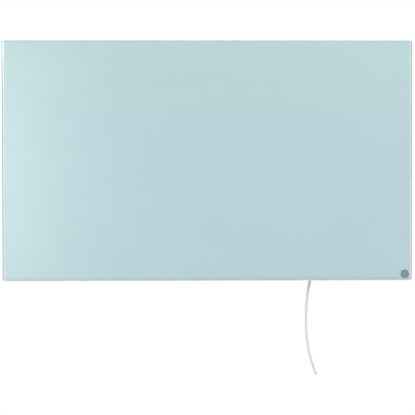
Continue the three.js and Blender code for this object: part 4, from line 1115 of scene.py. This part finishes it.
# %% Screws on their places
screw_tree = GeometryTree("screws")
MOST_SPIN, SPIN_SEED = 1.57, 4
spin = screw_tree.node(
    "FunctionNodeRandomValue", {2: 0.0, 3: MOST_SPIN, "Seed": SPIN_SEED}, output=1, data_type="FLOAT"
)
about_y = screw_tree.node("ShaderNodeCombineXYZ", {"Y": spin})
screw_tree.finish(screw_tree.on_points(screw_tree.source, screw_tree.shape_of("Screw"), about_y))


def screws(name, screw_mesh, places, nodes):
    """The screw on every place, as one piece that stands for its CAD nodes."""
    pattern = link("pattern_screw", screw_mesh)
    mesh = run_tree(screw_tree, name, bare_mesh("places", places), zinc_steel, Screw=pattern)
    bpy.data.objects.remove(pattern)
    install(mesh, "zinc_steel", *nodes)
    print(name, len(places), "screws", len(mesh.polygons), "faces")


hanger_screw_nodes = [name for name in frame["nodes"] if name.startswith("hanger_screw_")]
head_seat = TRAY_BACK + 2 * SEAT_GAP + HANGER_SHEET
screws(
    "hanger_screws", pan_head_screw("hanger_screw", head=3.8, height=2.5, shank=2, length=6.6),
    [(x, head_seat, z) for x, _, z in screw_places], hanger_screw_nodes,
)

# %% [markdown]
# ## Terminal box
# The box is moulded, so every edge has a radius and the inner walls lean a little, which lets it
# leave the tool. Its lid has a shallow panel. It is lofted like the pane, but with an inside: the
# levels go up the outside, over the rim and down the inside to the floor.

# %% Terminal box and lid
BOX_WIDTH, BOX_HEIGHT, BOX_CORNER, BOX_WALL = 110, 64, 5, 2
BOX_FRONT, BOX_RIM, LID_FRONT, LID_BACK = -27.7, -9.3, -9.0, -7.0
BOX_CENTRE = (254.5, -388)
box_levels = (
    rounded_edge(1.0, BOX_FRONT + 0.8, 0.8, -90, 0, 3)
    + [(0.0, BOX_RIM - 0.3), (0.3, BOX_RIM), (BOX_WALL - 0.2, BOX_RIM), (BOX_WALL, BOX_RIM - 0.2)]
    + [(BOX_WALL + 0.2, BOX_FRONT + BOX_WALL + 0.8), (BOX_WALL + 0.9, BOX_FRONT + BOX_WALL)]
)
lid_levels = (
    [(0.4, LID_FRONT), (0, LID_FRONT + 0.3)]
    + rounded_edge(0.8, LID_BACK - 0.8, 0.8, 0, 90, 4)
    + [(9, LID_BACK), (9.3, LID_BACK - 0.1), (9.6, LID_BACK - 0.4), (9.9, LID_BACK - 0.5)]
)
for name, levels, node in (
    ("moulded_box", box_levels, "terminal_box_base"), ("moulded_lid", lid_levels, "terminal_box_lid"),
):
    mesh = lofted(name, BOX_WIDTH, BOX_HEIGHT, BOX_CORNER, levels, BOX_CENTRE)
    install(mesh, "white_moulding", node)
LID_SCREW_X, LID_SCREW_Z = 50, -27
box_x, box_z = BOX_CENTRE
screws("lid_screws", pan_head_screw("lid_screw", head=3, height=1.8, shank=1.5, length=14), [
    (box_x + LID_SCREW_X * side, LID_BACK + SEAT_GAP, box_z + LID_SCREW_Z * side) for side in (-1, 1)
], ["lid_screw_1", "lid_screw_2"])

# %% [markdown]
# ## Gland and strain relief
# Where the cord leaves the box, a moulded bush guides it, and a ribbed rubber sleeve keeps it from
# being bent sharply. Both follow a rule: the sleeve's radius rises and falls along it, and the bush's
# rim along its round. So each starts as a plain turned shape with many points, and a tree moves the
# outer points out by a wave.

# %% Wave tree
wave_tree = GeometryTree("wave")
here = wave_tree.node("GeometryNodeInputPosition")
x, y, z = (wave_tree.node("ShaderNodeSeparateXYZ", {0: here}, output=axis) for axis in "XYZ")
out_from_axis = (x * x + y * y).math("SQRT")
along = z / wave_tree.input("Wave length") * (2 * math.pi)
around = y.math("ARCTAN2", x) * wave_tree.input("Waves round")
crest = (along + around).math("COSINE")
rise = crest.between(-0.5, 0.5) * wave_tree.input("Rise")
outer_only = out_from_axis.between(wave_tree.input("Bore radius"), wave_tree.input("Skin radius"))
moved_by = rise * outer_only / out_from_axis
outward = wave_tree.node("ShaderNodeCombineXYZ", {"X": x * moved_by, "Y": y * moved_by})
moved = {0: wave_tree.source, "Offset": outward}
wave_tree.finish(wave_tree.node("GeometryNodeSetPosition", moved))


def waved(name, plain, material, rise, bore, skin, length=1000.0, around=0):
    """The plain shape with its skin raised in waves: one each length mm, and a number around it."""
    return smoothed(run_tree(
        wave_tree, name, plain, material, Wave_length=length * MM, Waves_round=float(around),
        Rise=rise * MM, Bore_radius=bore * MM, Skin_radius=skin * MM,
    ), 50)


# %% Strain relief and gland
CORD_BORE = CORD_RADIUS + SEAT_GAP
RELIEF_LENGTH, RELIEF_TOP_RADIUS, RELIEF_END_RADIUS = 30, 7, 4.9
RELIEF_RIB_RISE, RELIEF_RIBS, RELIEF_STEPS = 0.9, 6, 96
sleeve = [(CORD_BORE, 0.3), (CORD_BORE + 0.2, 0)]
for step in range(RELIEF_STEPS + 1):
    share = step / RELIEF_STEPS
    radius = RELIEF_END_RADIUS + (RELIEF_TOP_RADIUS - RELIEF_END_RADIUS) * share - RELIEF_RIB_RISE
    sleeve.append((radius, RELIEF_LENGTH * share))
sleeve += [(CORD_BORE, RELIEF_LENGTH), (CORD_BORE, 0.3)]
relief = waved(
    "ribbed_sleeve", turned("ribbed_sleeve", sleeve, sides=48), white_rubber,
    rise=RELIEF_RIB_RISE, bore=CORD_BORE + 0.05, skin=CORD_BORE + 0.2,
    length=RELIEF_LENGTH / RELIEF_RIBS,
)
relief = placed(relief, Matrix(), (*CORD_EXIT[:2], CORD_EXIT[2] + SEAT_GAP))
install(relief, "white_rubber", "strain_relief")

GLAND_FOOT_Z, GLAND_GRIPS = -424.3, 24
bush = turned("grip_bush", [
    (CORD_BORE, 0.3), (CORD_BORE + 0.4, 0), (7.6, 0), (8.3, 0.2), (8.7, 0.7), (8.75, 1.2), (8.75, 3.0),
    (8.7, 3.6), (8.3, 4), (6, 4), (6, 6.3), (6.8, 6.3), (6.6, 7.2), (6, 8.5), (CORD_BORE, 8.6),
    (CORD_BORE, 0.3),
], sides=144)
bush = waved("grip_bush", bush, white_moulding, rise=0.25, bore=8.5, skin=8.7, around=GLAND_GRIPS)
bush = placed(bush, Matrix(), (*CORD_EXIT[:2], GLAND_FOOT_Z))
install(bush, "white_moulding", "cable_gland")
print("sleeve and bush made")

# %% [markdown]
# ## Every other CAD piece
# The pieces that keep their CAD shape take the finish of their slot in the record. Every finish was
# kept under its slot's name when it was made.

# %% Finishes of the record's slots
slot_of = {part["node"]: part["material_slot"] for part in frame["record"]["subparts"]}
for name, node in frame["nodes"].items():
    node.data.materials.clear()
    node.data.materials.append(finished[slot_of[name]])
print("dressed", len(frame["nodes"]), "CAD pieces")
